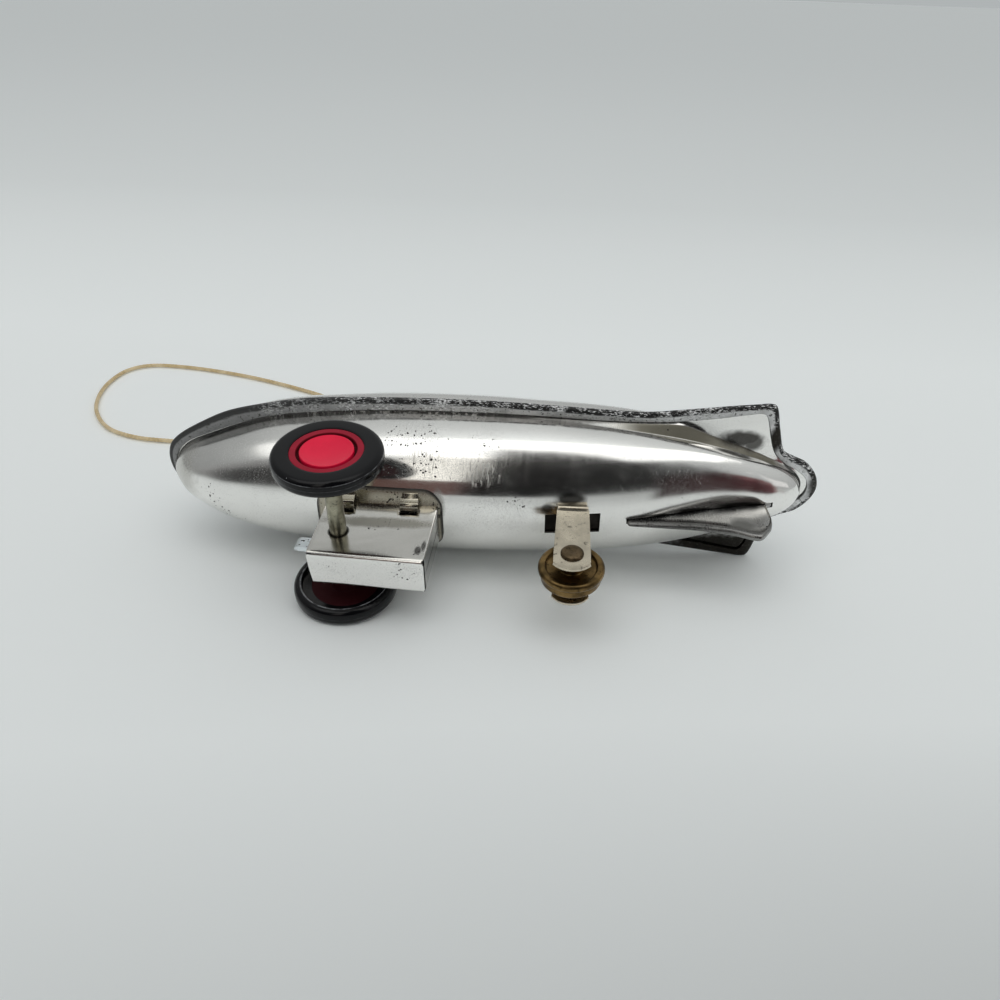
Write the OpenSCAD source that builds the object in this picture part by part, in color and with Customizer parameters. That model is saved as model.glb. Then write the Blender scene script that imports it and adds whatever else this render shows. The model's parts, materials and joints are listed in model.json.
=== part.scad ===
// Pressed tin airship ornament on three wheels, lying on its starboard side as it is put down.
// The pieces are drawn in the airship's own axes: x runs from nose to tail, y to starboard and
// z up through the top fin, with zero on the hull's axis at mid-length. lying() lays the whole
// ornament on its fin tip, its seam and its starboard wheel, with the nose to the left (-X).

/* [Hull] */
// Length over the seam flange, nose to tail
hull_l = 110; // [90:1:140]
// Width of the hull at the seam, without the flange
hull_w = 24.2; // [21:0.2:27]
// Depth of one half shell from the seam to the keel
shell_depth = 13.8; // [12.4:0.1:15]
// Width over the seam flange amidships
flange_w = 28.8; // [27.6:0.2:30.4]
// Span over the port and starboard fin tips
fin_span = 31.5; // [30.6:0.1:36]
// Thickness of the tin sheet
tin_t = 0.35; // [0.25:0.05:0.5]

/* [Vertical fins] */
// Distance of a fin's tip from the hull's axis
fin_tip_r = 14.5; // [13.5:0.1:18]
// Thickness of the pressed panel
fin_panel_t = 0.7; // [0.5:0.1:1]
// Thickness of the beaded edge
fin_bead_t = 1.2; // [1:0.1:1.8]
// Clearance of the fin in its slot in the hull
fin_slot_gap = 0.12; // [0.05:0.01:0.2]

/* [Gondola] */
// Length of the gondola box
gondola_l = 17.7; // [16.4:0.1:20]
// Width of the gondola box
gondola_w = 6.4; // [5.4:0.1:7.6]
// Distance of the box's middle ahead of mid-length
gondola_ahead = 15.85; // [14.75:0.1:16.75]
// Distance of the gondola floor below the hull's axis
gondola_floor = 26.3; // [24.8:0.1:28]
// Slope of the floor, lower at the rear, in degrees
gondola_pitch = 3; // [0:0.5:4]
// Length of the saddle plate between box and hull
saddle_l = 20.1; // [19:0.1:22]
// Width of the saddle plate
saddle_w = 11; // [10:0.1:12]
// Width of one bent tongue
tongue_w = 2.9; // [2:0.1:3.4]
// Distance between the two tongues of one side
tongue_pitch = 10.1; // [8.6:0.1:11.5]

/* [Front wheels] */
// Diameter of a tyre
wheel_d = 16.3; // [14:0.1:17.4]
// Thickness of a tyre
wheel_t = 2.8; // [2.6:0.1:4]
// Diameter of the red hub
hub_d = 10.72; // [9.6:0.02:11]
// Diameter of the dished cap in the hub
cap_d = 7.58; // [6.6:0.02:8]
// Diameter of the boss behind the wheel
boss_d = 4.4; // [4:0.1:5]
// Length of the boss behind the wheel
boss_l = 3.15; // [1.6:0.05:4]
// Diameter of the axle
axle_d = 2.6; // [2.2:0.1:3]
// Diameter of the axle's turned end inside the hub
spigot_d = 1.6; // [1.2:0.1:1.8]
// Distance between the wheels' inner faces
wheel_gap = 22.1; // [19:0.05:26]
// Distance of the axle ahead of mid-length
axle_ahead = 20.8; // [19.8:0.1:21.6]
// Distance of the axle below the hull's axis
axle_low = 20.7; // [20:0.1:22]
// Radial clearance of the axle in the gondola walls and of a hub on its spigot
run_gap = 0.06; // [0.03:0.01:0.09]
// Gap between the starboard boss and the gondola wall at rest
boss_gap = 0.1; // [0.05:0.05:0.3]

/* [Rear wheel] */
// Diameter of the brass wheel
rear_d = 10; // [9:0.1:10.6]
// Thickness of the brass wheel's rim
rear_t = 2.8; // [2:0.1:3.6]
// Distance of its pin aft of mid-length
rear_aft = 14.7; // [13.8:0.1:15.7]
// Distance of its pin below the hull's axis
rear_low = 23.7; // [23:0.1:25]
// Diameter of the pin
pin_d = 1.8; // [1.4:0.1:2]
// Diameter of the pin's riveted heads
pin_head_d = 3.5; // [3:0.1:4]
// Distance over the bracket's two ears
ears_w = 7.2; // [6.4:0.1:8.4]
// Width of an ear at its lower end
ear_w = 5.5; // [5:0.1:6.2]
// Thickness of the bracket strip
ear_t = 0.45; // [0.35:0.05:0.55]
// Length of the slot in the hull
slot_l = 8.7; // [8:0.1:9.4]
// Width of the slot in the hull
slot_w = 3.8; // [3.4:0.1:4.4]

/* [Hanger] */
// Distance of the eye ahead of mid-length
eye_ahead = 4; // [0:0.5:8]
// Inner diameter of the eye
eye_d = 2.4; // [1.8:0.1:3.2]
// Diameter of the eye's wire
eye_wire = 0.8; // [0.6:0.1:1]
// Diameter of the hanging cord
cord_d = 0.9; // [0.7:0.1:1.2]
// Diameter of the knot
knot_d = 2.6; // [2.2:0.1:3.2]

/* [Hidden] */
$fn = 64;
// Stations of the sheets between two rows of offsets, and facets from the keel to the wall
steps = 2;
arc_n = 6;
// A small overlap or step that keeps joined faces from meeting exactly
nip = 0.02;

// One row per station of the hull, from nose to tail, in millimetres at the nominal size:
// hull x, half width and depth, x and half width of the flange's edge, x and half width of
// the hem's inner edge, height of the crease above the seam and half width at the groove
// beside it.
OFFSETS = [
    [-53.2, 0.0, 2.4, -55.0, 0.0, -53.7, 0.0, 0.9, 0.0],
    [-53.0, 1.1, 3.2, -54.8, 1.8, -53.4, 1.25, 0.9, 1.15],
    [-52.0, 2.6, 4.8, -54.0, 3.7, -52.4, 2.9, 0.9, 2.75],
    [-49.9, 4.3, 7.1, -51.9, 5.7, -50.2, 4.7, 0.9, 4.5],
    [-46.2, 6.0, 9.3, -47.8, 8.2, -46.4, 6.4, 0.9, 6.2],
    [-41.8, 7.8, 11.1, -42.8, 10.6, -42.0, 8.2, 0.9, 8.0],
    [-35.8, 9.7, 12.4, -36.3, 12.3, -35.9, 10.1, 0.9, 9.9],
    [-28.0, 10.9, 13.1, -28.2, 13.7, -28.1, 11.3, 0.9, 11.1],
    [-16.0, 11.9, 13.7, -16.0, 14.3, -16.0, 12.2, 0.9, 12.05],
    [-3.0, 12.1, 13.8, -3.0, 14.4, -3.0, 12.4, 0.9, 12.25],
    [8.0, 11.9, 13.3, 8.0, 14.1, 8.0, 12.2, 1.0, 12.05],
    [18.0, 11.4, 12.3, 18.0, 13.6, 18.0, 11.8, 1.7, 11.7],
    [25.5, 10.7, 11.0, 25.5, 13.4, 25.5, 11.8, 2.0, 11.6],
    [31.5, 9.8, 9.3, 31.8, 14.1, 31.5, 12.2, 2.0, 11.5],
    [37.0, 8.6, 7.8, 38.5, 15.0, 37.0, 13.0, 2.0, 9.5],
    [41.0, 7.4, 6.9, 43.0, 15.55, 41.6, 13.9, 1.9, 7.95],
    [43.2, 6.6, 6.4, 45.1, 15.75, 43.8, 14.2, 1.8, 7.0],
    [44.8, 6.0, 6.1, 46.1, 15.0, 44.7, 13.4, 1.7, 6.4],
    [46.6, 5.2, 5.7, 47.1, 11.2, 45.6, 10.8, 1.6, 5.6],
    [48.2, 4.5, 5.1, 48.3, 7.3, 46.9, 7.0, 1.4, 4.9],
    [49.6, 3.7, 4.5, 50.0, 6.1, 49.0, 4.7, 1.2, 4.1],
    [50.9, 2.6, 3.6, 52.4, 4.9, 51.2, 3.4, 1.0, 2.9],
    [51.7, 1.3, 2.6, 54.3, 2.6, 52.8, 1.8, 0.9, 1.5],
    [51.9, 0.0, 2.2, 55.0, 0.0, 53.3, 0.0, 0.9, 0.0]];
// The sizes that the rows were drawn at, and where the fins spring from the flange
OFFSETS_L = 110;
OFFSETS_W = 24.2;
OFFSETS_D = 13.8;
OFFSETS_FLANGE = 28.8;
OFFSETS_SPAN = 31.5;
FIN_X = 25.5;

// A smooth curve through the rows: station s runs from 0 to last_row
last_row = len(OFFSETS) - 1;
kx = hull_l / OFFSETS_L;
kw = hull_w / OFFSETS_W;
kd = shell_depth / OFFSETS_D;
flange_extra = (flange_w - OFFSETS_FLANGE) / 2;
span_extra = (fin_span - OFFSETS_SPAN) / 2;
function row(i) = OFFSETS[max(0, min(last_row, i))];
function before(i) = i > 0 ? row(i - 1) : ends_mirrored(row(1));
function after(i) = i < last_row ? row(i + 1) : ends_mirrored(row(last_row - 1));
function ends_mirrored(r) = [r[0], -r[1], r[2], r[3], -r[4], r[5], -r[6], r[7], -r[8]];
function spline(a, b, c, d, t) = 0.5 * (2 * b + (c - a) * t + (2 * a - 5 * b + 4 * c - d) * t * t
    + (3 * b - a - 3 * c + d) * t * t * t);
function raw(s) = let (i = min(floor(s), last_row - 1))
    spline(before(i), row(i), row(i + 1), after(i + 1), s - i);
// Share of the fin, from 0 where it springs from the flange to 1 at its tip
function fin_share(x) = max(0, min(1, (x - FIN_X) / 15));
function wide(r, x, y) = y <= 0 ? 0 : max(0, y + flange_extra * min(1, y / 5)
    + span_extra * fin_share(x) * max(0, (y - 7) / 8.75));
// A station at the size that was set, in the same order as a row
function station(s) = let (r = raw(s)) [r[0] * kx, max(0, r[1] * kw), r[2] * kd, r[3] * kx,
    wide(r, r[3], r[4]), r[5] * kx, wide(r, r[5], r[6]), r[7], max(0, r[8] * kw)];

// Height at which the round of the shell ends and its upright wall begins
function wall_z(q) = min(max(q[2] - q[1], q[7] + 0.3), (q[2] + q[7]) / 2);
// Depth of the shell below the seam at a place on the belly
function stations_x() = [for (i = [0 : last_row * 4]) station(i / 4)];
ROWS = stations_x();
function belly(x, y) = let (i = max([for (k = [0 : len(ROWS) - 2]) ROWS[k][0] <= x ? k : 0]),
    a = ROWS[i], b = ROWS[i + 1], t = (x - a[0]) / (b[0] - a[0]), q = a + (b - a) * t,
    h = wall_z(q)) h + (q[2] - h) * sqrt(max(0, 1 - pow(y / q[1], 2)));

// Outer and inner face of one half shell at a station, from keel to seam, as [x, y, depth]
function toward(a, b, step) = a + (b - a) * step / norm(b - a);
function edge_at(q, inset) = toward([q[3], q[4]], [q[5], q[6]], inset);
function groove_z(q) = tin_t + 0.1 + (q[7] - 0.9) * 0.5;
function shell_face(q, off) = let (h = wall_z(q), w = q[1] * q[1] / (q[1] + off + 0.001),
    x = q[0] * (1 - off / 55), panel = [q[0] + q[5], q[8] + q[6]] / 2)
    concat([for (k = [0 : arc_n]) let (a = 90 * k / arc_n)
            [x, w * sin(a), h + (q[2] - off - h) * cos(a)]],
        [[x, w, q[7] - off / 2],
        [(q[0] * 3 + q[5]) / 4, q[8], groove_z(q) - off],
        [panel[0], panel[1], groove_z(q) * 0.35 + tin_t * 0.65 - off],
        [q[5], q[6], tin_t - off]]);
function lower_outer(q) = concat(shell_face(q, 0), [concat(edge_at(q, tin_t + nip), tin_t)]);
function lower_inner(q) = concat(shell_face(q, tin_t), [concat(edge_at(q, tin_t + nip), 0)]);
// The upper half shell's flange is folded round the lower one's and back under it
hem_round = 0.1;
function hem_edge(q) = [concat(edge_at(q, hem_round), tin_t), concat(edge_at(q, 0), -tin_t / 2),
    concat(edge_at(q, hem_round), -2 * tin_t)];
function upper_outer(q) = concat(shell_face(q, 0), hem_edge(q), [[q[5], q[6], -2 * tin_t]]);
function upper_inner(q) = concat(shell_face(q, tin_t), [concat(edge_at(q, tin_t), 0),
    concat(edge_at(q, tin_t), -tin_t / 2), concat(edge_at(q, tin_t), -tin_t),
    [q[5], q[6], -tin_t]]);

// One pressed sheet: rows of points for its outer and inner face, closed along its edge.
// The first and last rows lie on the centre line, so both sides share their points.
module sheet(outer, inner, up) {
    rows = len(outer) - 1;
    cols = len(outer[0]) - 1;
    wide_row = 2 * cols + 1;
    layer = 2 * (cols + 1) + (rows - 1) * wide_row;
    function at(l, k, j) = l * layer + (k == 0 ? abs(j)
        : k == rows ? cols + 1 + (rows - 1) * wide_row + abs(j)
        : cols + 1 + (k - 1) * wide_row + j + cols);
    function side(p, s) = [p[0], p[1] * s, p[2] * up];
    function layer_points(f) = concat([for (j = [0 : cols]) side(f[0][j], 1)],
        [for (k = [1 : rows - 1], j = [-cols : cols]) side(f[k][abs(j)], sign(j))],
        [for (j = [0 : cols]) side(f[rows][j], 1)]);
    function tri(a, b, c, out) = out ? [a, b, c] : [a, c, b];
    out = up > 0;
    faces = [for (l = [0, 1], k = [0 : rows - 1], j = [-cols : cols - 1])
        let (a = at(l, k, j), b = at(l, k, j + 1), c = at(l, k + 1, j + 1), d = at(l, k + 1, j),
            o = (l == 0) == out)
        each [if (a != b) tri(a, b, c, o), if (c != d) tri(a, c, d, o)]];
    rims = [for (k = [0 : rows - 1], e = [-1, 1])
        let (a = at(0, k, e * cols), b = at(0, k + 1, e * cols), c = at(1, k + 1, e * cols),
            d = at(1, k, e * cols), o = (e > 0) == out)
        each [tri(a, b, c, !o), tri(a, c, d, !o)]];
    polyhedron(concat(layer_points(outer), layer_points(inner)), concat(faces, rims), convexity = 8);
}
SPLITS = [for (i = [0 : last_row * steps]) station(i / steps)];

module lower_hull() {
    color("lightgray") difference() {
        sheet([for (q = SPLITS) lower_outer(q)], [for (q = SPLITS) lower_inner(q)], -1);
        bracket_slot();
        fin_slot(-1);
    }
}
module upper_hull() {
    color("silver") difference() {
        sheet([for (q = SPLITS) upper_outer(q)], [for (q = SPLITS) upper_inner(q)], 1);
        fin_slot(1);
        translate([eye_x, 0, shell_depth / 2]) cylinder(d = eye_wire + 2 * fin_slot_gap, h = shell_depth);
    }
}
module bracket_slot() {
    translate([rear_aft - slot_l / 2, -slot_w / 2, -shell_depth - 1])
        cube([slot_l, slot_w, shell_depth / 2 + 1]);
}
module fin_slot(up) {
    w = fin_panel_t + 2 * fin_slot_gap;
    z = belly(fin_root_x1, 0) - 3;
    translate([fin_root_x0 - fin_slot_gap, -w / 2, up > 0 ? z : -shell_depth])
        cube([fin_root_x1 - fin_root_x0 + 2 * fin_slot_gap, w, shell_depth - z]);
}

// Vertical fins: x along the hull, r outwards from its axis
fin_root_x0 = 23.4 * kx;
fin_root_x1 = 46.9 * kx;
fin_tip_x = 43.6 * kx;
fin_mid_x = 34.2 * kx;
fin_nose_r = belly(fin_root_x0, 0) + 1.1;
fin_mid_r = fin_nose_r + (fin_tip_r - fin_nose_r) * 0.05;
fin_back = 44.5 * kx;
fin_tail = 45.7 * kx;
// The tip's outer edge and the bead's inner one, as steps from the tip at the nominal size
TIP_EDGE = [[-3.6, -1.1], [-0.7, -0.1], [0.2, 0], [0.9, -0.4], [2.4, -2.6], [2.6, -4.2]];
BEAD_EDGE = [[1.3, -4.2], [1.1, -2.4], [0.1, -1.3], [-3.6, -2.1]];
function from_tip(steps) = [for (p = steps) [fin_tip_x + p[0] * kx, fin_tip_r + p[1] * kd]];
fin_edge = concat([[fin_root_x0, fin_nose_r], [fin_mid_x, fin_mid_r]], from_tip(TIP_EDGE),
    [[fin_tail, belly(fin_tail, 0) + 0.5]]);
fin_bead_in = concat([[fin_back, belly(fin_back, 0) + 0.6]], from_tip(BEAD_EDGE),
    [[fin_mid_x, fin_mid_r - 0.8], [fin_root_x0 + 0.8, fin_nose_r - 0.7]]);
module plate_xz(points, t) {
    rotate([90, 0, 0]) translate([0, 0, -t / 2]) linear_extrude(t) polygon(points);
}
module vertical_fin() {
    root = [[fin_root_x1, belly(fin_root_x1, 0) + 0.2], [fin_root_x1, belly(fin_root_x1, 0) - 1.6],
        [fin_root_x0, belly(fin_root_x0, 0) - 1.6]];
    plate_xz(concat(fin_edge, root), fin_panel_t);
    plate_xz(concat(fin_edge, fin_bead_in), fin_bead_t);
}
module lower_fin() {
    color("gray") mirror([0, 0, 1]) vertical_fin();
}
module upper_fin() {
    color("gray") vertical_fin();
}

// Gondola: a folded box under a saddle plate that follows the belly. Its walls end under the
// plate's edge at wall_top, and what closes its ends reaches up to the keel at end_top.
gondola_x0 = -gondola_ahead - gondola_l / 2;
gondola_x1 = -gondola_ahead + gondola_l / 2;
saddle_x0 = -gondola_ahead - saddle_l / 2;
bend_r = 0.8;
corner_r = 3.3;
saddle_rows = 12;
saddle_cols = 10;
seat_gap = 0.03;
wall_in = gondola_w / 2 - tin_t;
box_xs = [gondola_x0, -gondola_ahead, gondola_x1 + 1];
wall_top = max([for (x = box_xs) belly(x, wall_in)]) + tin_t + 4 * seat_gap;
end_top = max([for (x = box_xs) belly(x, 0)]) + tin_t + 4 * seat_gap;
function saddle_half(x) = let (e = min(x - saddle_x0, saddle_x0 + saddle_l - x))
    saddle_w / 2 - corner_r + sqrt(max(0, corner_r * corner_r - pow(max(0, corner_r - e), 2)));
function eased(t) = (1 - cos(180 * t)) / 2;
module gondola_saddle() {
    n = saddle_cols + 1;
    grid = [for (i = [0 : saddle_rows]) let (x = saddle_x0 + saddle_l * eased(i / saddle_rows))
        [for (j = [0 : saddle_cols]) let (y = saddle_half(x) * (2 * j / saddle_cols - 1))
            [x, y, -belly(x, y) - seat_gap]]];
    under = [for (r = grid, p = r) p];
    over = [for (p = under) p - [0, 0, tin_t]];
    m = len(under);
    tops = [for (i = [0 : saddle_rows - 1], j = [0 : saddle_cols - 1]) let (a = i * n + j)
        each [[a, a + 1, a + n + 1], [a, a + n + 1, a + n],
            [m + a, m + a + n + 1, m + a + 1], [m + a, m + a + n, m + a + n + 1]]];
    ends = [for (j = [0 : saddle_cols - 1], e = [0, 1]) let (a = e * saddle_rows * n + j)
        each e == 0 ? [[a, m + a, m + a + 1], [a, m + a + 1, a + 1]]
            : [[a, m + a + 1, m + a], [a, a + 1, m + a + 1]]];
    sides = [for (i = [0 : saddle_rows - 1], e = [0, 1]) let (a = i * n + e * saddle_cols)
        each e == 0 ? [[a, a + n, m + a + n], [a, m + a + n, m + a]]
            : [[a, m + a + n, a + n], [a, m + a, m + a + n]]];
    color("gainsboro") {
        polyhedron(concat(under, over), concat(tops, ends, sides), convexity = 6);
        for (x = tongue_at, s = [-1, 1]) scale_side(s) tongue(x);
    }
}
tongue_at = [-gondola_ahead - tongue_pitch / 2, -gondola_ahead + tongue_pitch / 2];
module scale_side(s) {
    if (s < 0) mirror([0, 1, 0]) children();
    else children();
}
// A tongue lies on the saddle's edge, turns down beside the box and stands clear of its wall
tongue_low = wall_top + 1.3;
tongue_y = gondola_w / 2 + 0.95;
module tongue(x) {
    edge_y = saddle_w / 2 - 0.1;
    edge_z = belly(x, edge_y) + tin_t + seat_gap;
    knee_y = tongue_y + 0.25;
    knee_z = belly(x, knee_y) + tin_t + seat_gap;
    profile = [[edge_y, -edge_z + nip], [edge_y, -edge_z - tin_t], [knee_y + 0.35, -knee_z - tin_t - 0.25],
        [tongue_y + tin_t, -tongue_low + 0.5], [tongue_y + tin_t - 0.1, -tongue_low],
        [tongue_y, -tongue_low], [tongue_y, -knee_z - 0.3], [knee_y - 0.2, -knee_z + nip]];
    translate([x - tongue_w / 2, 0, 0]) rotate([90, 0, 90]) linear_extrude(tongue_w) polygon(profile);
}
box_top = 10;
module box_section(w, low, r) {
    translate([-w / 2, -low + r]) square([w, low - r - box_top]);
    translate([-w / 2 + r, -low]) square([w - 2 * r, r + nip]);
    for (s = [-1, 1]) translate([s * (w / 2 - r), -low + r]) circle(r, $fn = 32);
}
// Tilts its children about the middle of the gondola's floor and cuts them off at a height
module pitched(top) {
    difference() {
        translate([-gondola_ahead, 0, -gondola_floor]) rotate([0, gondola_pitch, 0])
            translate([gondola_ahead, 0, gondola_floor]) children();
        translate([gondola_x0 - gondola_l, -gondola_w, -top])
            cube([3 * gondola_l, 2 * gondola_w, top + box_top]);
    }
}
// The walls are folded up from the floor, and each wall's rear end in to the middle as a flap
flap_gap = 0.15;
module gondola_shell() {
    flap_w = gondola_w / 2 - flap_gap / 2;
    color("whitesmoke") difference() {
        union() {
            pitched(wall_top) translate([gondola_x0, 0, 0]) rotate([90, 0, 90])
                linear_extrude(gondola_l) difference() {
                    box_section(gondola_w, gondola_floor, bend_r);
                    box_section(gondola_w - 2 * tin_t, gondola_floor - tin_t, bend_r - tin_t);
                }
            pitched(end_top) for (s = [-1, 1]) scale_side(s)
                translate([gondola_x1 - tin_t, flap_gap / 2, -gondola_floor + bend_r])
                    cube([tin_t, flap_w, gondola_floor - bend_r - box_top]);
        }
        on_axle() translate([0, 0, -gondola_w]) cylinder(d = axle_d + 2 * run_gap, h = 2 * gondola_w);
        for (x = tongue_at) translate([x - tongue_w / 2, -gondola_w, -tongue_low - 0.9])
            cube([tongue_w, 2 * gondola_w, 0.9]);
    }
}
panel_w = gondola_w - 2 * tin_t - 2 * seat_gap;
panel_low = gondola_floor - tin_t - seat_gap;
panel_r = bend_r - tin_t;
lip = 1.3;
front_recess = 0.5;
// A bottom front corner of the front panel is bent forwards as a small lug
lug_l = 2.1;
lug_h = 2.2;
lug_up = 0.4;
module gondola_front_panel() {
    color("whitesmoke") pitched(end_top) {
        translate([gondola_x0 + front_recess, 0, 0]) rotate([90, 0, 90]) {
            linear_extrude(tin_t) box_section(panel_w, panel_low, panel_r);
            linear_extrude(lip) difference() {
                box_section(panel_w, panel_low, panel_r);
                box_section(panel_w - 2 * tin_t, panel_low - tin_t, max(nip, panel_r - tin_t));
            }
        }
        translate([gondola_x0 - lug_l, -panel_w / 2, -panel_low + panel_r + lug_up]) {
            cube([lug_l + front_recess + tin_t, tin_t, lug_h]);
            cube([tin_t, 3 * tin_t, lug_h]);
        }
    }
}

// Front axle and wheels. on_axle() puts the axle's centre line on z, pointing to starboard
module on_axle() {
    translate([-axle_ahead, 0, -axle_low]) rotate([-90, 0, 0]) children();
}
starboard_boss = gondola_w / 2 + boss_gap;
starboard_face = starboard_boss + boss_l + wheel_t;
port_face = starboard_face - 2 * wheel_t - wheel_gap;
port_boss = port_face + wheel_t + boss_l;
hub_plate = 0.75;
cap_room = 1.1;
seat_z = hub_plate + cap_room;
head_t = 0.5;
shoulder_gap = 0.05;
module front_axle() {
    head_d = spigot_d + 1.4;
    color("darkkhaki") on_axle() {
        translate([0, 0, port_boss + shoulder_gap])
            cylinder(d = axle_d, h = starboard_boss - port_boss - 2 * shoulder_gap);
        translate([0, 0, port_face + seat_z - shoulder_gap - head_t / 2])
            cylinder(d = spigot_d, h = starboard_face - port_face - 2 * seat_z + 2 * shoulder_gap + head_t);
        translate([0, 0, port_face + seat_z - shoulder_gap - head_t]) cylinder(d = head_d, h = head_t);
        translate([0, 0, starboard_face - seat_z + shoulder_gap]) cylinder(d = head_d, h = head_t);
    }
}
// A wheel's own frame has z outwards along the axle, with its outer face at zero
module port_side() {
    on_axle() translate([0, 0, port_face]) rotate([180, 0, 0]) children();
}
module starboard_side() {
    on_axle() translate([0, 0, starboard_face]) children();
}
tyre_r = 1;
tyre_web = 1.8;
module tyre() {
    r = wheel_d / 2;
    color("black") rotate_extrude($fn = 96) difference() {
        union() {
            translate([hub_d / 2, -wheel_t]) square([r - tyre_r - hub_d / 2, wheel_t]);
            translate([r - tyre_r - nip, -wheel_t + tyre_r]) square([tyre_r + nip, wheel_t - 2 * tyre_r]);
            for (z = [-tyre_r, tyre_r - wheel_t]) translate([r - tyre_r, z]) circle(tyre_r, $fn = 32);
        }
        translate([0, -wheel_t - 1]) square([r - tyre_r - 0.3, wheel_t - tyre_web + 1]);
    }
}
cap_edge = 0.1;
ring_w = 0.15;
module hub() {
    color("crimson") difference() {
        union() {
            translate([0, 0, -tyre_web]) cylinder(d = hub_d, h = tyre_web - cap_edge, $fn = 96);
            translate([0, 0, -wheel_t - boss_l]) cylinder(d = boss_d, h = boss_l + wheel_t - tyre_web + nip);
        }
        translate([0, 0, -cap_room]) cylinder(d = cap_d + 2 * ring_w, h = cap_room, $fn = 96);
        translate([0, 0, -seat_z]) cylinder(d = spigot_d + 1.4 + 2 * run_gap, h = seat_z);
        translate([0, 0, -wheel_t - boss_l - 1])
            cylinder(d = spigot_d + 2 * run_gap, h = wheel_t + boss_l + 1);
    }
}
dish_depth = 0.5;
module hub_cap() {
    r = cap_d / 2;
    dish_r = (r * r + dish_depth * dish_depth) / 2 / dish_depth;
    color("red") difference() {
        translate([0, 0, -cap_room]) cylinder(r = r, h = cap_room - cap_edge, $fn = 96);
        translate([0, 0, dish_r - cap_edge - dish_depth]) sphere(r = dish_r, $fn = 128);
    }
}
module port_tyre() port_side() tyre();
module port_hub() port_side() hub();
module port_hub_cap() port_side() hub_cap();
module starboard_tyre() starboard_side() tyre();
module starboard_hub() starboard_side() hub();
module starboard_hub_cap() starboard_side() hub_cap();

// Rear wheel in its bracket
module on_pin() {
    translate([rear_aft, 0, -rear_low]) rotate([-90, 0, 0]) children();
}
// A strip bent in below the hull, up through the slot and over inside it. The ear is its
// lower end, rounded about the pin, and the shoulder is the bend above the ear.
ear_end_r = 3.5;
ear_top_w = 5;
ear_top = belly(rear_aft, 0) + 0.8;
shoulder_out = 0.2;
shoulder_h = 0.75;
neck_gap = 0.15;
neck_y = slot_w / 2 - neck_gap;
ear_x0 = rear_aft - ear_top_w / 2;
// Where the strip runs below the hull, and the plate that holds it inside on the hull's tin
under_z = belly(ear_x0, neck_y) + neck_gap;
clip_l = slot_l + 2;
clip_gap = 0.2;
clip_x0 = rear_aft - clip_l / 2;
function inside_z(x) = -belly(x, neck_y) + tin_t + clip_gap;
clip_slope = (inside_z(clip_x0 + clip_l) - inside_z(clip_x0)) / clip_l;
function clip_z(x) = inside_z(clip_x0) + (x - clip_x0) * clip_slope;
module ear() {
    inner = ears_w / 2 - ear_t;
    color("tan") difference() {
        union() {
            intersection() {
                on_pin() cylinder(r = ear_end_r, h = ears_w / 2);
                translate([rear_aft - ear_w / 2, inner, -rear_low - ear_end_r])
                    cube([ear_w, ear_t, ear_end_r]);
            }
            plate_at(inner, ear_t, [[rear_aft - ear_w / 2, -rear_low - nip],
                [rear_aft + ear_w / 2, -rear_low - nip], [ear_x0 + ear_top_w, -ear_top],
                [ear_x0, -ear_top]]);
            translate([ear_x0, 0, 0]) rotate([90, 0, 90]) linear_extrude(ear_top_w)
                polygon([[inner, -ear_top - nip], [ears_w / 2, -ear_top - nip],
                    [ears_w / 2 + shoulder_out, -ear_top + shoulder_h / 2],
                    [ears_w / 2, -ear_top + shoulder_h], [neck_y, -under_z],
                    [neck_y - ear_t, -under_z], [neck_y - ear_t, -under_z - ear_t],
                    [inner, -ear_top + shoulder_h - ear_t]]);
            plate_at(neck_y - ear_t, ear_t, [[ear_x0, -under_z - nip],
                [ear_x0 + ear_top_w, -under_z - nip], [ear_x0 + ear_top_w, clip_z(ear_x0 + ear_top_w) + nip],
                [ear_x0, clip_z(ear_x0) + nip]]);
        }
        on_pin() cylinder(d = pin_d + 2 * nip, h = ears_w);
    }
}
module plate_at(y, t, points) {
    translate([0, y + t, 0]) rotate([90, 0, 0]) linear_extrude(t) polygon(points);
}
module rear_bracket() {
    for (s = [-1, 1]) scale_side(s) ear();
    x1 = clip_x0 + clip_l;
    color("tan") plate_at(-neck_y, 2 * neck_y, [[clip_x0, clip_z(clip_x0)], [x1, clip_z(x1)],
        [x1, clip_z(x1) + ear_t], [clip_x0, clip_z(clip_x0) + ear_t]]);
}
pin_head_t = 0.55;
module rear_axle_pin() {
    color("saddlebrown") on_pin() {
        translate([0, 0, -ears_w / 2 - nip]) cylinder(d = pin_d, h = ears_w + 2 * nip);
        for (s = [0, 180]) rotate([s, 0, 0]) translate([0, 0, ears_w / 2 + 0.01])
            cylinder(d1 = pin_head_d, d2 = pin_head_d - 1.2, h = pin_head_t, $fn = 48);
    }
}
// Its rim is stepped down beyond the port side, and both faces are turned out round the boss
rear_boss_d = 3.6;
rear_recess = 0.55;
rim_w = 1.2;
rim_bevel = 0.3;
rim_step = 0.4;
rim_step_z = 0.1;
module rear_wheel() {
    r = rear_d / 2;
    boss = ears_w - 2 * ear_t - 0.3;
    color("goldenrod") on_pin() rotate_extrude($fn = 96) difference() {
        union() {
            polygon([[0, -rear_t / 2], [r - rim_bevel, -rear_t / 2], [r, -rear_t / 2 + rim_bevel],
                [r, -rim_step_z - rim_bevel], [r - rim_step, -rim_step_z],
                [r - rim_step, rear_t / 2 - rim_bevel], [r - rim_step - rim_bevel, rear_t / 2],
                [0, rear_t / 2]]);
            translate([0, -boss / 2]) square([rear_boss_d / 2, boss]);
        }
        for (z = [-rear_t / 2 - 1, rear_t / 2 - rear_recess])
            translate([rear_boss_d / 2, z]) square([r - rim_w - rear_boss_d / 2, rear_recess + 1]);
        translate([0, -ears_w]) square([pin_d / 2 + run_gap, 2 * ears_w]);
    }
}

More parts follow.
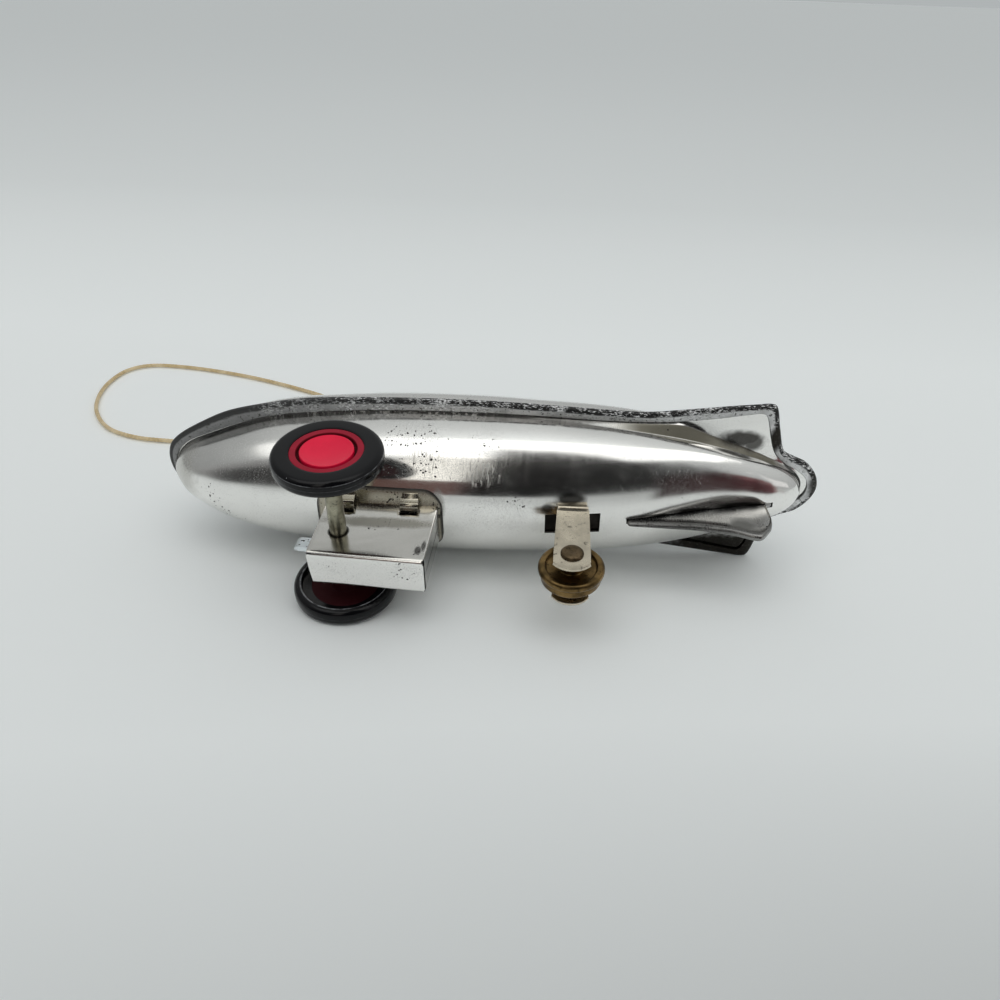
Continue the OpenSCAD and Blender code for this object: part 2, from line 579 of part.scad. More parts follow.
// Hanger: a wire eye through the top of the hull, and the cord that is knotted to it
eye_x = -eye_ahead;
eye_foot = belly(eye_x, 0);
eye_z = eye_foot + eye_d / 2 + eye_wire;
module hanger_eye() {
    color("silver") {
        translate([eye_x, 0, eye_z]) rotate([90, 0, 0]) rotate_extrude($fn = 48)
            translate([(eye_d + eye_wire) / 2, 0]) circle(d = eye_wire, $fn = 24);
        translate([eye_x, 0, eye_foot - 2.4]) cylinder(d = eye_wire, h = 2.4 + 0.3);
        translate([eye_x - 1.7, -eye_wire / 2, eye_foot - 2.4 - eye_wire / 2])
            cube([3.4, eye_wire, eye_wire]);
    }
}
knot_at = [eye_x, 0, eye_z + (eye_d + eye_wire) / 2];
module cord_knot() {
    color("khaki") translate(laid(knot_at)) sphere(d = knot_d, $fn = 32);
}

// The cord's route where the ornament lies, from the knot, round the loop and back to it.
// It hangs from the eye down to the table behind the hull and lies there.
CORD = [[-3.6, 25.1, 16.9], [-4, 26.5, 15.7], [-4.8, 28.2, 12.8], [-6.2, 30.2, 8.8], [-8.4, 32.8, 4.8],
    [-11.8, 36.6, 1.9], [-17, 42.6, 0.7], [-25.5, 51.5, 0.6], [-34, 60, 0.6], [-42, 66.6, 0.6],
    [-51, 71.5, 0.6], [-61.5, 76, 0.6], [-72, 79.2, 0.6], [-82, 81, 0.6], [-90.5, 80.8, 0.6],
    [-95, 76.5, 0.6], [-96, 68.5, 0.6], [-94.5, 59.5, 0.6], [-91, 51, 0.6], [-85, 43.5, 0.6],
    [-77.5, 39.8, 0.6], [-69, 39, 0.6], [-59, 39, 0.6], [-49, 39.2, 0.6], [-39, 39, 0.6],
    [-30, 38.2, 0.6], [-22.5, 36.6, 0.7], [-16.5, 34.2, 1.9], [-12.2, 31.4, 5], [-9.4, 29, 9],
    [-7.2, 27.1, 13], [-5.7, 25.7, 15.8], [-4.7, 25, 17.1]];
cord_sides = 8;
function route(i) = CORD[max(0, min(len(CORD) - 1, i))];
function cord_point(s) = let (i = min(floor(s), len(CORD) - 2))
    spline(route(i - 1), route(i), route(i + 1), route(i + 2), s - i);
cord_rings = 2 * (len(CORD) - 1);
function unit(v) = v / norm(v);
module hanging_cord() {
    pts = [for (k = [0 : cord_rings]) cord_point(k / 2)];
    dirs = [for (k = [0 : cord_rings]) unit(pts[min(k + 1, cord_rings)] - pts[max(k - 1, 0)])];
    ring_points = [for (k = [0 : cord_rings]) let (side = unit(cross([0, 0, 1], dirs[k])),
        over = cross(dirs[k], side)) for (j = [0 : cord_sides - 1]) let (a = 360 * (j + 0.5) / cord_sides)
        pts[k] + cord_d / 2 * (side * cos(a) + over * sin(a))];
    skin = [for (k = [0 : cord_rings - 1], j = [0 : cord_sides - 1]) let (a = k * cord_sides + j,
        b = k * cord_sides + (j + 1) % cord_sides)
        each [[a, b + cord_sides, b], [a, a + cord_sides, b + cord_sides]]];
    caps = [[for (j = [0 : cord_sides - 1]) j],
        [for (j = [cord_sides - 1 : -1 : 0]) cord_rings * cord_sides + j]];
    color("khaki") polyhedron(ring_points, concat(skin, caps), convexity = 6);
}

// How the ornament lies: the plane under the starboard fin tip, the seam and the wheel's rim.
// tyre_end() is the point of a tyre that lies furthest against a direction.
ring_r = wheel_d / 2 - tyre_r;
function tyre_end(y, n) = [-axle_ahead, y, -axle_low] - tyre_r * n - ring_r * unit([n[0], 0, n[2]]);
starboard_ring = starboard_face - tyre_r;
flange_line = [for (q = SPLITS) each hem_edge(q)];
fore_points = [for (p = flange_line) if (p[0] < FIN_X) p];
aft_points = [for (p = flange_line) if (p[0] >= FIN_X) p];
function up_from(a, b, t) = let (c = unit(cross(b - a, t - a))) c[1] > 0 ? -c : c;
function clear_above(n, a) = min([for (p = flange_line) n * (p - a)]) > -0.0001;
function resting(t) = [for (a = aft_points, b = fore_points) let (n = up_from(a, b, t))
    if (clear_above(n, a)) [a, n]][0];
first_rest = resting(tyre_end(starboard_ring, [0, -1, 0.01]));
rest = resting(tyre_end(starboard_ring, first_rest[1]));
rest_up = rest[1];
low_touch = rest_up * rest[0];
roll = atan2(rest_up[1], rest_up[2]);
pitch = -asin(rest_up[0]);
along = [cos(pitch), sin(pitch) * sin(roll), sin(pitch) * cos(roll)];
across = cross(rest_up, along);
function turned(p) = [along * p, across * p, rest_up * p];
reach = concat([for (p = flange_line, s = [-1, 1]) turned([p[0], s * p[1], p[2]])],
    [for (y = [port_face + tyre_r, starboard_ring], n = [along, across]) turned(tyre_end(y, n))],
    [turned([eye_x, 0, eye_z + eye_d / 2 + eye_wire])]);
middle_x = (min([for (p = reach) p[0]]) + max([for (p = reach) p[0]])) / 2;
middle_y = (min([for (p = reach) p[1]]) + max([for (p = reach) p[1]])) / 2;
function laid(p) = turned(p) - [middle_x, middle_y, low_touch];
module lying() {
    translate([-middle_x, -middle_y, -low_touch]) rotate([roll, pitch, 0]) children();
}

lying() lower_hull();
lying() upper_hull();
lying() lower_fin();
lying() upper_fin();
lying() gondola_saddle();
lying() gondola_shell();
lying() gondola_front_panel();
lying() rear_bracket();
lying() rear_axle_pin();
lying() rear_wheel();
lying() front_axle();
lying() port_tyre();
lying() port_hub();
lying() port_hub_cap();
lying() starboard_tyre();
lying() starboard_hub();
lying() starboard_hub_cap();
lying() hanger_eye();
hanging_cord();
cord_knot();
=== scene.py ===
"""Looks of the pressed tin airship ornament, laid out as an add-on and run as a script.

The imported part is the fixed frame. Every piece but the cord is modelled in the airship's own
axes, in millimetres: x from nose to tail, y to starboard, z up through the top fin. LAY then
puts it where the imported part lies, in metres. The cord is drawn where it lies.
"""

import json
import math
from collections import namedtuple

import bmesh
import bpy
from mathutils import Matrix, Vector


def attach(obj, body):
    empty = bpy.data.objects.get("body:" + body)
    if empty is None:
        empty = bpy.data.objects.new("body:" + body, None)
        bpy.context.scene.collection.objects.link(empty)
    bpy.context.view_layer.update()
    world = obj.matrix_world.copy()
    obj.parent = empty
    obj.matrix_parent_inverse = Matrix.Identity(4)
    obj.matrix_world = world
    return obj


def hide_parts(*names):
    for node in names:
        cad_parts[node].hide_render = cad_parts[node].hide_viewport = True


bl_info = {
    "name": "Airship Tin Ornament",
    "version": (1, 0, 0),
    "blender": (4, 5, 0),
    "location": "3D View > Sidebar > Airship",
    "description": "Dresses the packed airship ornament in its tin, paint, brass and cord",
    "category": "Object",
}

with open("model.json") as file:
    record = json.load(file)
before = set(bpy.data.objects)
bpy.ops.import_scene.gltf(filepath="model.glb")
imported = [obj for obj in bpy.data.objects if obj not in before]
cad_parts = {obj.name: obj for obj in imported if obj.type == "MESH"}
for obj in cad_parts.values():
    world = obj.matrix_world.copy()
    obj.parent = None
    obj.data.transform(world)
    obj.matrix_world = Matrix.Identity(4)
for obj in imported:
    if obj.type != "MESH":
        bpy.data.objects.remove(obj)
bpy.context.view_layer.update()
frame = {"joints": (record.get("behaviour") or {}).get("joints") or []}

# Sizes in millimetres; those of the main shapes are as in the part's source

# The sheet, and the seam that the upper half's flange is folded round
TIN = 0.35
SEAM_TIN = 2 * TIN

# The gondola's box, whose pitch is in degrees, and the lug at its front end
GONDOLA_L, GONDOLA_W, GONDOLA_MID, GONDOLA_FLOOR, GONDOLA_PITCH = 17.7, 6.4, -15.85, 26.3, 3.0
BEND_R, REAR_BEND, FLAP_GAP, FLOOR_CUT, FLOOR_SHORT = 0.8, 0.45, 0.16, 0.55, 0.12
LUG_L, LUG_H, LUG_T, LUG_ROUND, HOLE_PLAY = 2.1, 2.2, TIN * 2.4, 0.25, 0.12

# The saddle plate between hull and box, with its four tongues
SADDLE_L, SADDLE_W, SADDLE_CORNER, SEAT_GAP = 20.1, 11.0, 3.3, 0.03
SADDLE_X0 = GONDOLA_MID - SADDLE_L / 2
TONGUE_W, TONGUE_PITCH = 2.9, 10.1
TONGUES = (GONDOLA_MID - TONGUE_PITCH / 2, GONDOLA_MID + TONGUE_PITCH / 2)
TONGUE_Y, TONGUE_LOW, SLIT_H = GONDOLA_W / 2 + 0.95, 15.26, 0.9

# The front wheels and their axle
WHEEL_D, WHEEL_T, TYRE_ROUND, TYRE_WEB = 16.3, 2.8, 1.0, 1.8
HUB_D, CAP_D, BOSS_D, BOSS_L = 10.72, 7.58, 4.4, 3.15
CAP_R, CAP_HOLE_R, RING_R = CAP_D / 2 + 0.12, CAP_D / 2 + 0.15, 4.4
AXLE_D, SPIGOT_D, AXLE_X, AXLE_Z = 2.6, 1.6, -20.8, -20.7
BOSS_GAP, BETWEEN_WHEELS, BORE_GAP = 0.1, 22.1, 0.06
STARBOARD_FACE = GONDOLA_W / 2 + BOSS_GAP + BOSS_L + WHEEL_T
PORT_FACE = STARBOARD_FACE - 2 * WHEEL_T - BETWEEN_WHEELS
HEAD_D, HEAD_T, SEAT_Z, CAP_ROOM, SHOULDER_GAP = 3.0, 0.5, 1.85, 1.1, 0.05

# The rear wheel, its pin and its bracket in the hull's slot
REAR_D, REAR_T, REAR_X, REAR_Z = 10.0, 2.8, 14.7, -23.7
PIN_D, PIN_HEAD_D, EARS_W, EAR_W, EAR_TOP_W, EAR_T, EAR_END_R = 1.8, 3.5, 7.2, 5.5, 5.0, 0.45, 3.5
SLOT_L, SLOT_W, CLIP_LIP, CLIP_INSET = 8.7, 3.8, 1.0, 0.15

# The vertical fins: the bead is thin at the front and full after a run
FIN_TIP_R, FIN_PANEL_T, FIN_BEAD_T, FIN_SLOT_GAP, FIN_ROOT = 14.5, 0.7, 1.2, 0.14, 1.6
FIN_X0, FIN_X1, FIN_MID_X, FIN_TIP_X, FIN_HEEL_X, FIN_INSET = 23.4, 46.9, 34.2, 43.6, 45.7, 1.6
BEAD_RUN, BEAD_FRONT = 14.0, 0.55

# The hanger eye with its cross wire inside the hull, the cord and the knot
EYE_X, EYE_D, EYE_WIRE, CROSS_HALF, CROSS_LOW = -4.0, 2.4, 0.8, 1.7, 2.4
CORD_D, KNOT_D, THREAD_SIDES, PLIES = 0.9, 2.6, 16, 3

# The radius that closes a turned piece at its middle, and how near two points are one
LATHE_TIP_R, DOUBLES, LATHE_DOUBLES = 0.012, 0.0005, 0.002

# Where the hull's facet is darkened as painted shade, from one x to the other, and how far the shade fades in
# and out
SHADE_X0, SHADE_X1, SHADE_IN, SHADE_OUT = 17.0, 50.0, 8.0, 3.0

# Steps of the grids: over a shell's arc and its side panel, between two rows of offsets, round the
# seam's edge; along the box's wall, up it, round its rear corner and over a flap, over its floor
ARC_STEPS, PANEL_STEPS, STATION_STEPS, SEAM_STEPS = 26, 6, 12, 8
WALL_STEPS, WALL_ROWS, CORNER_STEPS, FLOOR_STEPS = 24, 14, 6, 10

# Counted in points of a section: the facet between crease and groove, from the keel, and the
# fin's bead, from its edge
FACET, BEAD_ROWS = (29, 35), 9

# One row per station of the hull: x, half width and depth of the shell, x and half width of the
# flange's edge, x and half width of the hem's inner edge, height of the crease above the seam
# and half width at the groove beside it
Row = namedtuple("Row", "x half depth edge_x edge hem_x hem crease groove")
ACROSS = ("half", "edge", "hem", "groove")
OFFSETS = [
    (-53.2, 0.0, 2.4, -55.0, 0.0, -53.7, 0.0, 0.9, 0.0),
    (-53.0, 1.1, 3.2, -54.8, 1.8, -53.4, 1.25, 0.9, 1.15),
    (-52.0, 2.6, 4.8, -54.0, 3.7, -52.4, 2.9, 0.9, 2.75),
    (-49.9, 4.3, 7.1, -51.9, 5.7, -50.2, 4.7, 0.9, 4.5),
    (-46.2, 6.0, 9.3, -47.8, 8.2, -46.4, 6.4, 0.9, 6.2),
    (-41.8, 7.8, 11.1, -42.8, 10.6, -42.0, 8.2, 0.9, 8.0),
    (-35.8, 9.7, 12.4, -36.3, 12.3, -35.9, 10.1, 0.9, 9.9),
    (-28.0, 10.9, 13.1, -28.2, 13.7, -28.1, 11.3, 0.9, 11.1),
    (-16.0, 11.9, 13.7, -16.0, 14.3, -16.0, 12.2, 0.9, 12.05),
    (-3.0, 12.1, 13.8, -3.0, 14.4, -3.0, 12.4, 0.9, 12.25),
    (8.0, 11.9, 13.3, 8.0, 14.1, 8.0, 12.2, 1.0, 12.05),
    (18.0, 11.4, 12.3, 18.0, 13.6, 18.0, 11.8, 1.7, 11.7),
    (25.5, 10.7, 11.0, 25.5, 13.4, 25.5, 11.8, 2.0, 11.6),
    (31.5, 9.8, 9.3, 31.8, 14.1, 31.5, 12.2, 2.0, 11.5),
    (37.0, 8.6, 7.8, 38.5, 15.0, 37.0, 13.0, 2.0, 9.5),
    (41.0, 7.4, 6.9, 43.0, 15.55, 41.6, 13.9, 1.9, 7.95),
    (43.2, 6.6, 6.4, 45.1, 15.75, 43.8, 14.2, 1.8, 7.0),
    (44.8, 6.0, 6.1, 46.1, 15.0, 44.7, 13.4, 1.7, 6.4),
    (46.6, 5.2, 5.7, 47.1, 11.2, 45.6, 10.8, 1.6, 5.6),
    (48.2, 4.5, 5.1, 48.3, 7.3, 46.9, 7.0, 1.4, 4.9),
    (49.6, 3.7, 4.5, 50.0, 6.1, 49.0, 4.7, 1.2, 4.1),
    (50.9, 2.6, 3.6, 52.4, 4.9, 51.2, 3.4, 1.0, 2.9),
    (51.7, 1.3, 2.6, 54.3, 2.6, 52.8, 1.8, 0.9, 1.5),
    (51.9, 0.0, 2.2, 55.0, 0.0, 53.3, 0.0, 0.9, 0.0),
]
LAST_ROW = len(OFFSETS) - 1

# The cord's route where the ornament lies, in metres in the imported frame
CORD = [
    (-0.0036, 0.0251, 0.0169), (-0.004, 0.0265, 0.0157), (-0.0048, 0.0282, 0.0128),
    (-0.0062, 0.0302, 0.0088), (-0.0084, 0.0328, 0.0048), (-0.0118, 0.0366, 0.0019),
    (-0.017, 0.0426, 0.0007), (-0.0255, 0.0515, 0.0006), (-0.034, 0.06, 0.0006), (-0.042, 0.0666, 0.0006),
    (-0.051, 0.0715, 0.0006), (-0.0615, 0.076, 0.0006), (-0.072, 0.0792, 0.0006),
    (-0.082, 0.081, 0.0006), (-0.0905, 0.0808, 0.0006), (-0.095, 0.0765, 0.0006),
    (-0.096, 0.0685, 0.0006), (-0.0945, 0.0595, 0.0006), (-0.091, 0.051, 0.0006),
    (-0.085, 0.0435, 0.0006), (-0.0775, 0.0398, 0.0006), (-0.069, 0.039, 0.0006),
    (-0.059, 0.039, 0.0006), (-0.049, 0.0392, 0.0006), (-0.039, 0.039, 0.0006),
    (-0.03, 0.0382, 0.0006), (-0.0225, 0.0366, 0.0007), (-0.0165, 0.0342, 0.0019),
    (-0.0122, 0.0314, 0.005), (-0.0094, 0.029, 0.009), (-0.0072, 0.0271, 0.013),
    (-0.0057, 0.0257, 0.0158), (-0.0047, 0.025, 0.0171),
]


def lying():
    """How the part lies, worked out from its axle joint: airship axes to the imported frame."""
    joints = {j["name"]: j for j in frame["joints"]}
    spin = joints["port_wheel_spin"]
    star = Vector(spin["axis"]).normalized()
    roll = -math.acos(star.y)
    pitch = math.asin(star.x / math.sin(roll))
    along = Vector((math.cos(pitch), math.sin(pitch) * math.sin(roll), math.sin(pitch) * math.cos(roll)))
    across = Vector((0, math.cos(roll), -math.sin(roll)))
    up = Vector((-math.sin(pitch), math.cos(pitch) * math.sin(roll), math.cos(pitch) * math.cos(roll)))
    turn = Matrix((along, across, up))
    shift = Vector(spin["pos_m"]) - turn @ Vector((AXLE_X, 0, AXLE_Z)) * 0.001
    return Matrix.Translation(shift) @ (turn * 0.001).to_4x4()


LAY = lying()
ON_AXLE = Matrix.Translation((AXLE_X, 0, AXLE_Z)) @ Matrix.Rotation(math.radians(-90), 4, "X")
PORT_SIDE = ON_AXLE @ Matrix.Translation((0, 0, PORT_FACE)) @ Matrix.Rotation(math.pi, 4, "X")
STARBOARD_SIDE = ON_AXLE @ Matrix.Translation((0, 0, STARBOARD_FACE))
ON_PIN = Matrix.Translation((REAR_X, 0, REAR_Z)) @ Matrix.Rotation(math.radians(-90), 4, "X")
FLOOR_MID = Matrix.Translation((GONDOLA_MID, 0, -GONDOLA_FLOOR))
PITCHED = FLOOR_MID @ Matrix.Rotation(math.radians(GONDOLA_PITCH), 4, "Y") @ FLOOR_MID.inverted()
AXLE_LINE = (LAY.to_3x3() @ Vector((0, 1, 0))).normalized()
AXLE_MIDDLE = LAY @ Vector((AXLE_X, (PORT_FACE + STARBOARD_FACE) / 2, AXLE_Z))
HALF_TRACK = (STARBOARD_FACE - PORT_FACE) / 2


# The hull's lines

def clamped(value):
    """A value held between 0 and 1."""
    return min(1, max(0, value))


def quarter(steps):
    """Angles from nothing to a right angle in equal steps."""
    return [math.pi / 2 * k / steps for k in range(steps + 1)]


def curve(a, b, c, t):
    """Point at t on a curve from a to c that is drawn towards b."""
    return a * (1 - t) ** 2 + b * 2 * t * (1 - t) + c * t * t


def spline(a, b, c, d, t):
    """Point on a smooth curve from b to c."""
    return tuple(
        0.5 * (2 * q + (r - p) * t + (2 * p - 5 * q + 4 * r - s) * t * t + (3 * q - p - 3 * r + s) * t ** 3)
        for p, q, r, s in zip(a, b, c, d))


def mirrored(row):
    """The same row with its half widths on the other side, to carry a curve past the hull's end."""
    return tuple(-v if name in ACROSS else v for name, v in zip(Row._fields, row))


def station(s):
    """Row of offsets at s, from 0 at the nose to LAST_ROW at the tail."""
    i = min(int(s), LAST_ROW - 1)
    before = OFFSETS[i - 1] if i else mirrored(OFFSETS[1])
    after = OFFSETS[i + 2] if i + 2 <= LAST_ROW else mirrored(OFFSETS[LAST_ROW - 1])
    q = Row(*spline(before, OFFSETS[i], OFFSETS[i + 1], after, s - i))
    return q._replace(**{name: max(0.0, getattr(q, name)) for name in ACROSS})


def wall_top_of(q):
    """Depth at which a section's arc passes into its upright wall."""
    return min(max(q.depth - q.half, q.crease + 0.3), (q.depth + q.crease) / 2)


STATIONS = [station(k / STATION_STEPS) for k in range(LAST_ROW * STATION_STEPS + 1)]


def belly(x, y=0.0):
    """Depth of the shell below the seam at a place on it."""
    k = max([i for i, q in enumerate(STATIONS[:-1]) if q.x <= x] or [0])
    a, b = STATIONS[k], STATIONS[k + 1]
    t = clamped((x - a.x) / ((b.x - a.x) or 1))
    q = Row(*(m + (n - m) * t for m, n in zip(a, b)))
    h = wall_top_of(q)
    return h + (q.depth - h) * math.sqrt(max(0, 1 - (y / q.half) ** 2))


def bend(a, b, c, reach, n=4):
    """Points that round the corner b between a and c."""
    a, b, c = Vector(a), Vector(b), Vector(c)
    p = b + (a - b).normalized() * min(reach, (a - b).length * 0.45)
    r = b + (c - b).normalized() * min(reach, (c - b).length * 0.45)
    return [curve(p, b, r, k / n) for k in range(n + 1)]


def through(corners, reach, n):
    """A line through corners with the inner ones rounded; reach is one number or one per inner corner."""
    reaches = reach if isinstance(reach, tuple) else (reach,) * len(corners)
    line = [corners[0]]
    for a, b, c, r in zip(corners, corners[1:], corners[2:], reaches):
        line += bend(a, b, c, r, n)
    return line + [corners[-1]]


def toward(a, b, step):
    """Point a step away from a on the line to b."""
    a, b = Vector(a), Vector(b)
    return a + (b - a).normalized() * step


def shell_section(q):
    """One side of a shell from its keel to the hem's inner edge, as x, y and depth."""
    h = wall_top_of(q)
    points = [Vector((q.x, q.half * math.sin(a), h + (q.depth - h) * math.cos(a)))
              for a in quarter(ARC_STEPS)]
    groove_z = TIN + 0.1 + (q.crease - 0.9) * 0.5
    crease = Vector((q.x, q.half, q.crease))
    groove = Vector(((q.x * 3 + q.hem_x) / 4, q.groove, groove_z))
    middle = Vector(((q.x + q.hem_x) / 2, (q.groove + q.hem) / 2, groove_z * 0.35 + TIN * 0.65))
    hem = Vector((q.hem_x, q.hem, TIN))
    points += bend(points[-1], crease, groove, 0.3)
    points += bend(crease, groove, middle, 0.3)
    control = middle * 2 - (groove + hem) / 2
    start = points[-1]
    return points + [curve(start, control, hem, k / PANEL_STEPS) for k in range(1, PANEL_STEPS + 1)]


def edge_at(q, inset, z):
    """Point at a height, inset from the flange's edge towards the hem's inner edge."""
    e = toward((q.edge_x, q.edge, 0), (q.hem_x, q.hem, 0), inset)
    return Vector((e.x, e.y, z))


def lower_section(q):
    return shell_section(q) + [edge_at(q, 1.2, TIN), edge_at(q, TIN + 0.02, TIN)]


def upper_section(q):
    """As the lower one, then round the seam's edge and back under it."""
    points = shell_section(q) + [edge_at(q, 1.3, TIN)]
    r = (TIN + SEAM_TIN) / 2
    for k in range(SEAM_STEPS + 1):
        a = math.pi * k / SEAM_STEPS
        points.append(edge_at(q, r - r * math.sin(a), TIN - r + r * math.cos(a)))
    hem = Vector((q.hem_x, q.hem, -SEAM_TIN))
    last, sag = points[-1], Vector((0, 0, -0.03))
    points += [last.lerp(hem, 0.33) + sag, last.lerp(hem, 0.66) + sag]
    points += [last.lerp(hem, 0.97), Vector((q.hem_x, q.hem, -SEAM_TIN + 0.2))]
    return points


# Modelling by hand

def at_rest():
    """Leaves edit mode and selects nothing."""
    if bpy.context.object and bpy.context.object.mode != "OBJECT":
        bpy.ops.object.mode_set(mode="OBJECT")
    bpy.ops.object.select_all(action="DESELECT")


def add(name, primitive, **how):
    """Adds a primitive on its own and names it."""
    at_rest()
    primitive(**how)
    piece = bpy.context.object
    piece.name = name
    piece.data.name = name
    return piece


def pick(piece):
    """Selects a piece alone and makes it the active one."""
    at_rest()
    piece.select_set(True)
    bpy.context.view_layer.objects.active = piece


def editing(piece):
    pick(piece)
    bpy.ops.object.mode_set(mode="EDIT")


def place(piece, matrix):
    """Puts a piece by a matrix and applies it to its mesh."""
    pick(piece)
    piece.matrix_world = matrix @ piece.matrix_world
    bpy.ops.object.transform_apply(location=True, rotation=True, scale=True)
    return piece


def finish(piece, kind, **values):
    """Adds a modifier and applies it."""
    pick(piece)
    modifier = piece.modifiers.new(kind.title(), kind)
    for key, value in values.items():
        setattr(modifier, key, value)
    bpy.ops.object.modifier_apply(modifier=modifier.name)
    return piece


def outward(piece, doubles=DOUBLES, close_ends=False):
    """Merges doubled points, closes the open ends where asked and turns the faces outwards."""
    editing(piece)
    bpy.ops.mesh.select_all(action="SELECT")
    bpy.ops.mesh.remove_doubles(threshold=doubles)
    if close_ends:
        bpy.ops.mesh.select_mode(type="EDGE")
        bpy.ops.mesh.select_all(action="DESELECT")
        bpy.ops.mesh.select_non_manifold()
        bpy.ops.mesh.edge_face_add()
        bpy.ops.mesh.select_all(action="SELECT")
    bpy.ops.mesh.normals_make_consistent(inside=False)
    at_rest()
    return piece


def soften(piece, width, angle=50, segments=2):
    """Rounds the edges that turn by more than an angle."""
    return finish(piece, "BEVEL", width=width, segments=segments, limit_method="ANGLE",
                  angle_limit=math.radians(angle))


def sheet(name, rows, columns, at, zone=None, marks=None):
    """A grid whose points are moved to at(row, column), its faces' materials set by zone.

    marks are named values for each point, which a finish can read.
    """
    piece = add(name, bpy.ops.mesh.primitive_grid_add, x_subdivisions=rows, y_subdivisions=columns, size=2)
    if zone:
        for p in piece.data.polygons:
            p.material_index = zone((p.center.x + 1) / 2 * rows, (p.center.y + 1) / 2 * columns)
    places = [(round((v.co.x + 1) / 2 * rows), round((v.co.y + 1) / 2 * columns))
              for v in piece.data.vertices]
    for key, value in (marks or {}).items():
        layer = piece.data.attributes.new(key, "FLOAT", "POINT")
        for k, (i, j) in enumerate(places):
            layer.data[k].value = value(i, j)
    for v, (i, j) in zip(piece.data.vertices, places):
        v.co = at(i, j)
    return piece


def turned_on_lathe(name, profile, facets, closed=True):
    """A ring drawn out along a profile of (radius, height), as on a lathe."""
    r0, z0 = profile[0]
    piece = add(name, bpy.ops.mesh.primitive_circle_add, vertices=facets, radius=r0,
                location=(0, 0, z0), fill_type="NOTHING")
    bpy.ops.object.mode_set(mode="EDIT")
    bpy.ops.mesh.select_all(action="SELECT")
    for r, z in profile[1:] + (profile[:1] if closed else []):
        bpy.ops.mesh.extrude_edges_move(TRANSFORM_OT_translate={"value": (0, 0, z - z0)})
        bpy.ops.transform.resize(value=(r / r0, r / r0, 1), center_override=(0, 0, z))
        r0, z0 = r, z
    at_rest()
    place(piece, Matrix.Identity(4))
    return outward(piece, LATHE_DOUBLES)


def rounded(profile, reaches, n):
    """A closed profile with its corners rounded, each by a reach of its own."""
    out = []
    for k, (p, reach) in enumerate(zip(profile, reaches)):
        if reach > 0:
            after = profile[(k + 1) % len(profile)]
            out += [(v.x, v.y) for v in bend(profile[k - 1], p, after, reach, n)]
        else:
            out.append(p)
    return out


def strip(name, path, widths, thickness, mid_x):
    """A flat strip bent along a path of (y, z) points, with its width along x."""
    across = 2

    def at(i, j):
        y, z = path[i]
        return Vector((mid_x + widths[i] * (j / across - 0.5), y, z))

    piece = sheet(name, len(path) - 1, across, at)
    return finish(piece, "SOLIDIFY", thickness=thickness, offset=0, use_even_offset=True)


def along_path(points, steps):
    """Points on a smooth curve through the given ones."""
    out = []
    last = len(points) - 1
    for i in range(last):
        a, b, c, d = (points[max(0, min(last, i + k))] for k in (-1, 0, 1, 2))
        for k in range(steps):
            out.append(Vector(spline(a, b, c, d, k / steps)))
    out.append(Vector(points[-1]))
    return out


def distances(points):
    """How far along a line each of its points is."""
    out = [0.0]
    for a, b in zip(points, points[1:]):
        out.append(out[-1] + (b - a).length)
    return out


def evenly(points, step):
    """The same line as points at equal steps along it."""
    lengths = distances(points)
    count = max(2, round(lengths[-1] / step))
    out, k = [], 0
    for n in range(count + 1):
        d = lengths[-1] * n / count
        while k < len(lengths) - 2 and lengths[k + 1] < d:
            k += 1
        span = lengths[k + 1] - lengths[k] or 1
        out.append(points[k].lerp(points[k + 1], (d - lengths[k]) / span))
    return out


def thread(name, centres, radius, twist, depth):
    """A tube of twisted plies along a line of centres: twist is one turn's length."""
    lengths = distances(centres)
    last = len(centres) - 1
    frames = []
    side = Vector((0, 0, 1)).cross(centres[1] - centres[0]).normalized()
    for k in range(last + 1):
        ahead = (centres[min(k + 1, last)] - centres[max(k - 1, 0)]).normalized()
        side = (side - ahead * side.dot(ahead)).normalized()
        frames.append((side.copy(), ahead.cross(side)))

    def at(i, j):
        a = 2 * math.pi * j / THREAD_SIDES
        lobe = 1 - depth * (0.5 - 0.5 * math.cos(PLIES * (a - 2 * math.pi * lengths[i] / twist)))
        s, o = frames[i]
        return centres[i] + (s * math.cos(a) + o * math.sin(a)) * radius * lobe

    return outward(sheet(name, last, THREAD_SIDES, at), radius * 0.01, close_ends=True)


def cut(piece, tool):
    """Takes the tool's solid out of the piece and removes the tool."""
    finish(piece, "BOOLEAN", operation="DIFFERENCE", object=tool, solver="EXACT")
    bpy.data.objects.remove(tool)


def block(name, low, high):
    """A box between two corners."""
    low, high = Vector(low), Vector(high)
    piece = add(name, bpy.ops.mesh.primitive_cube_add, size=1, location=(low + high) / 2,
                scale=high - low)
    bpy.ops.object.transform_apply(location=True, rotation=True, scale=True)
    return piece


def smooth(piece, angle):
    """Shades a piece smooth but for the edges that turn by more than an angle."""
    pick(piece)
    bpy.ops.object.shade_smooth_by_angle(angle=math.radians(angle))
    piece.select_set(False)


def dress(piece, body, slot, look=None, nodes=(), angle=35, lay=True):
    """Lays a finished piece down, and gives it its body and, if it has none, its look, and hides its CAD
    nodes. The slot is not used.
    """
    if lay:
        place(piece, LAY)
    smooth(piece, angle)
    if look:
        piece.data.materials.append(look)
    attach(piece, body)
    if nodes:
        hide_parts(*nodes)


# Finishes

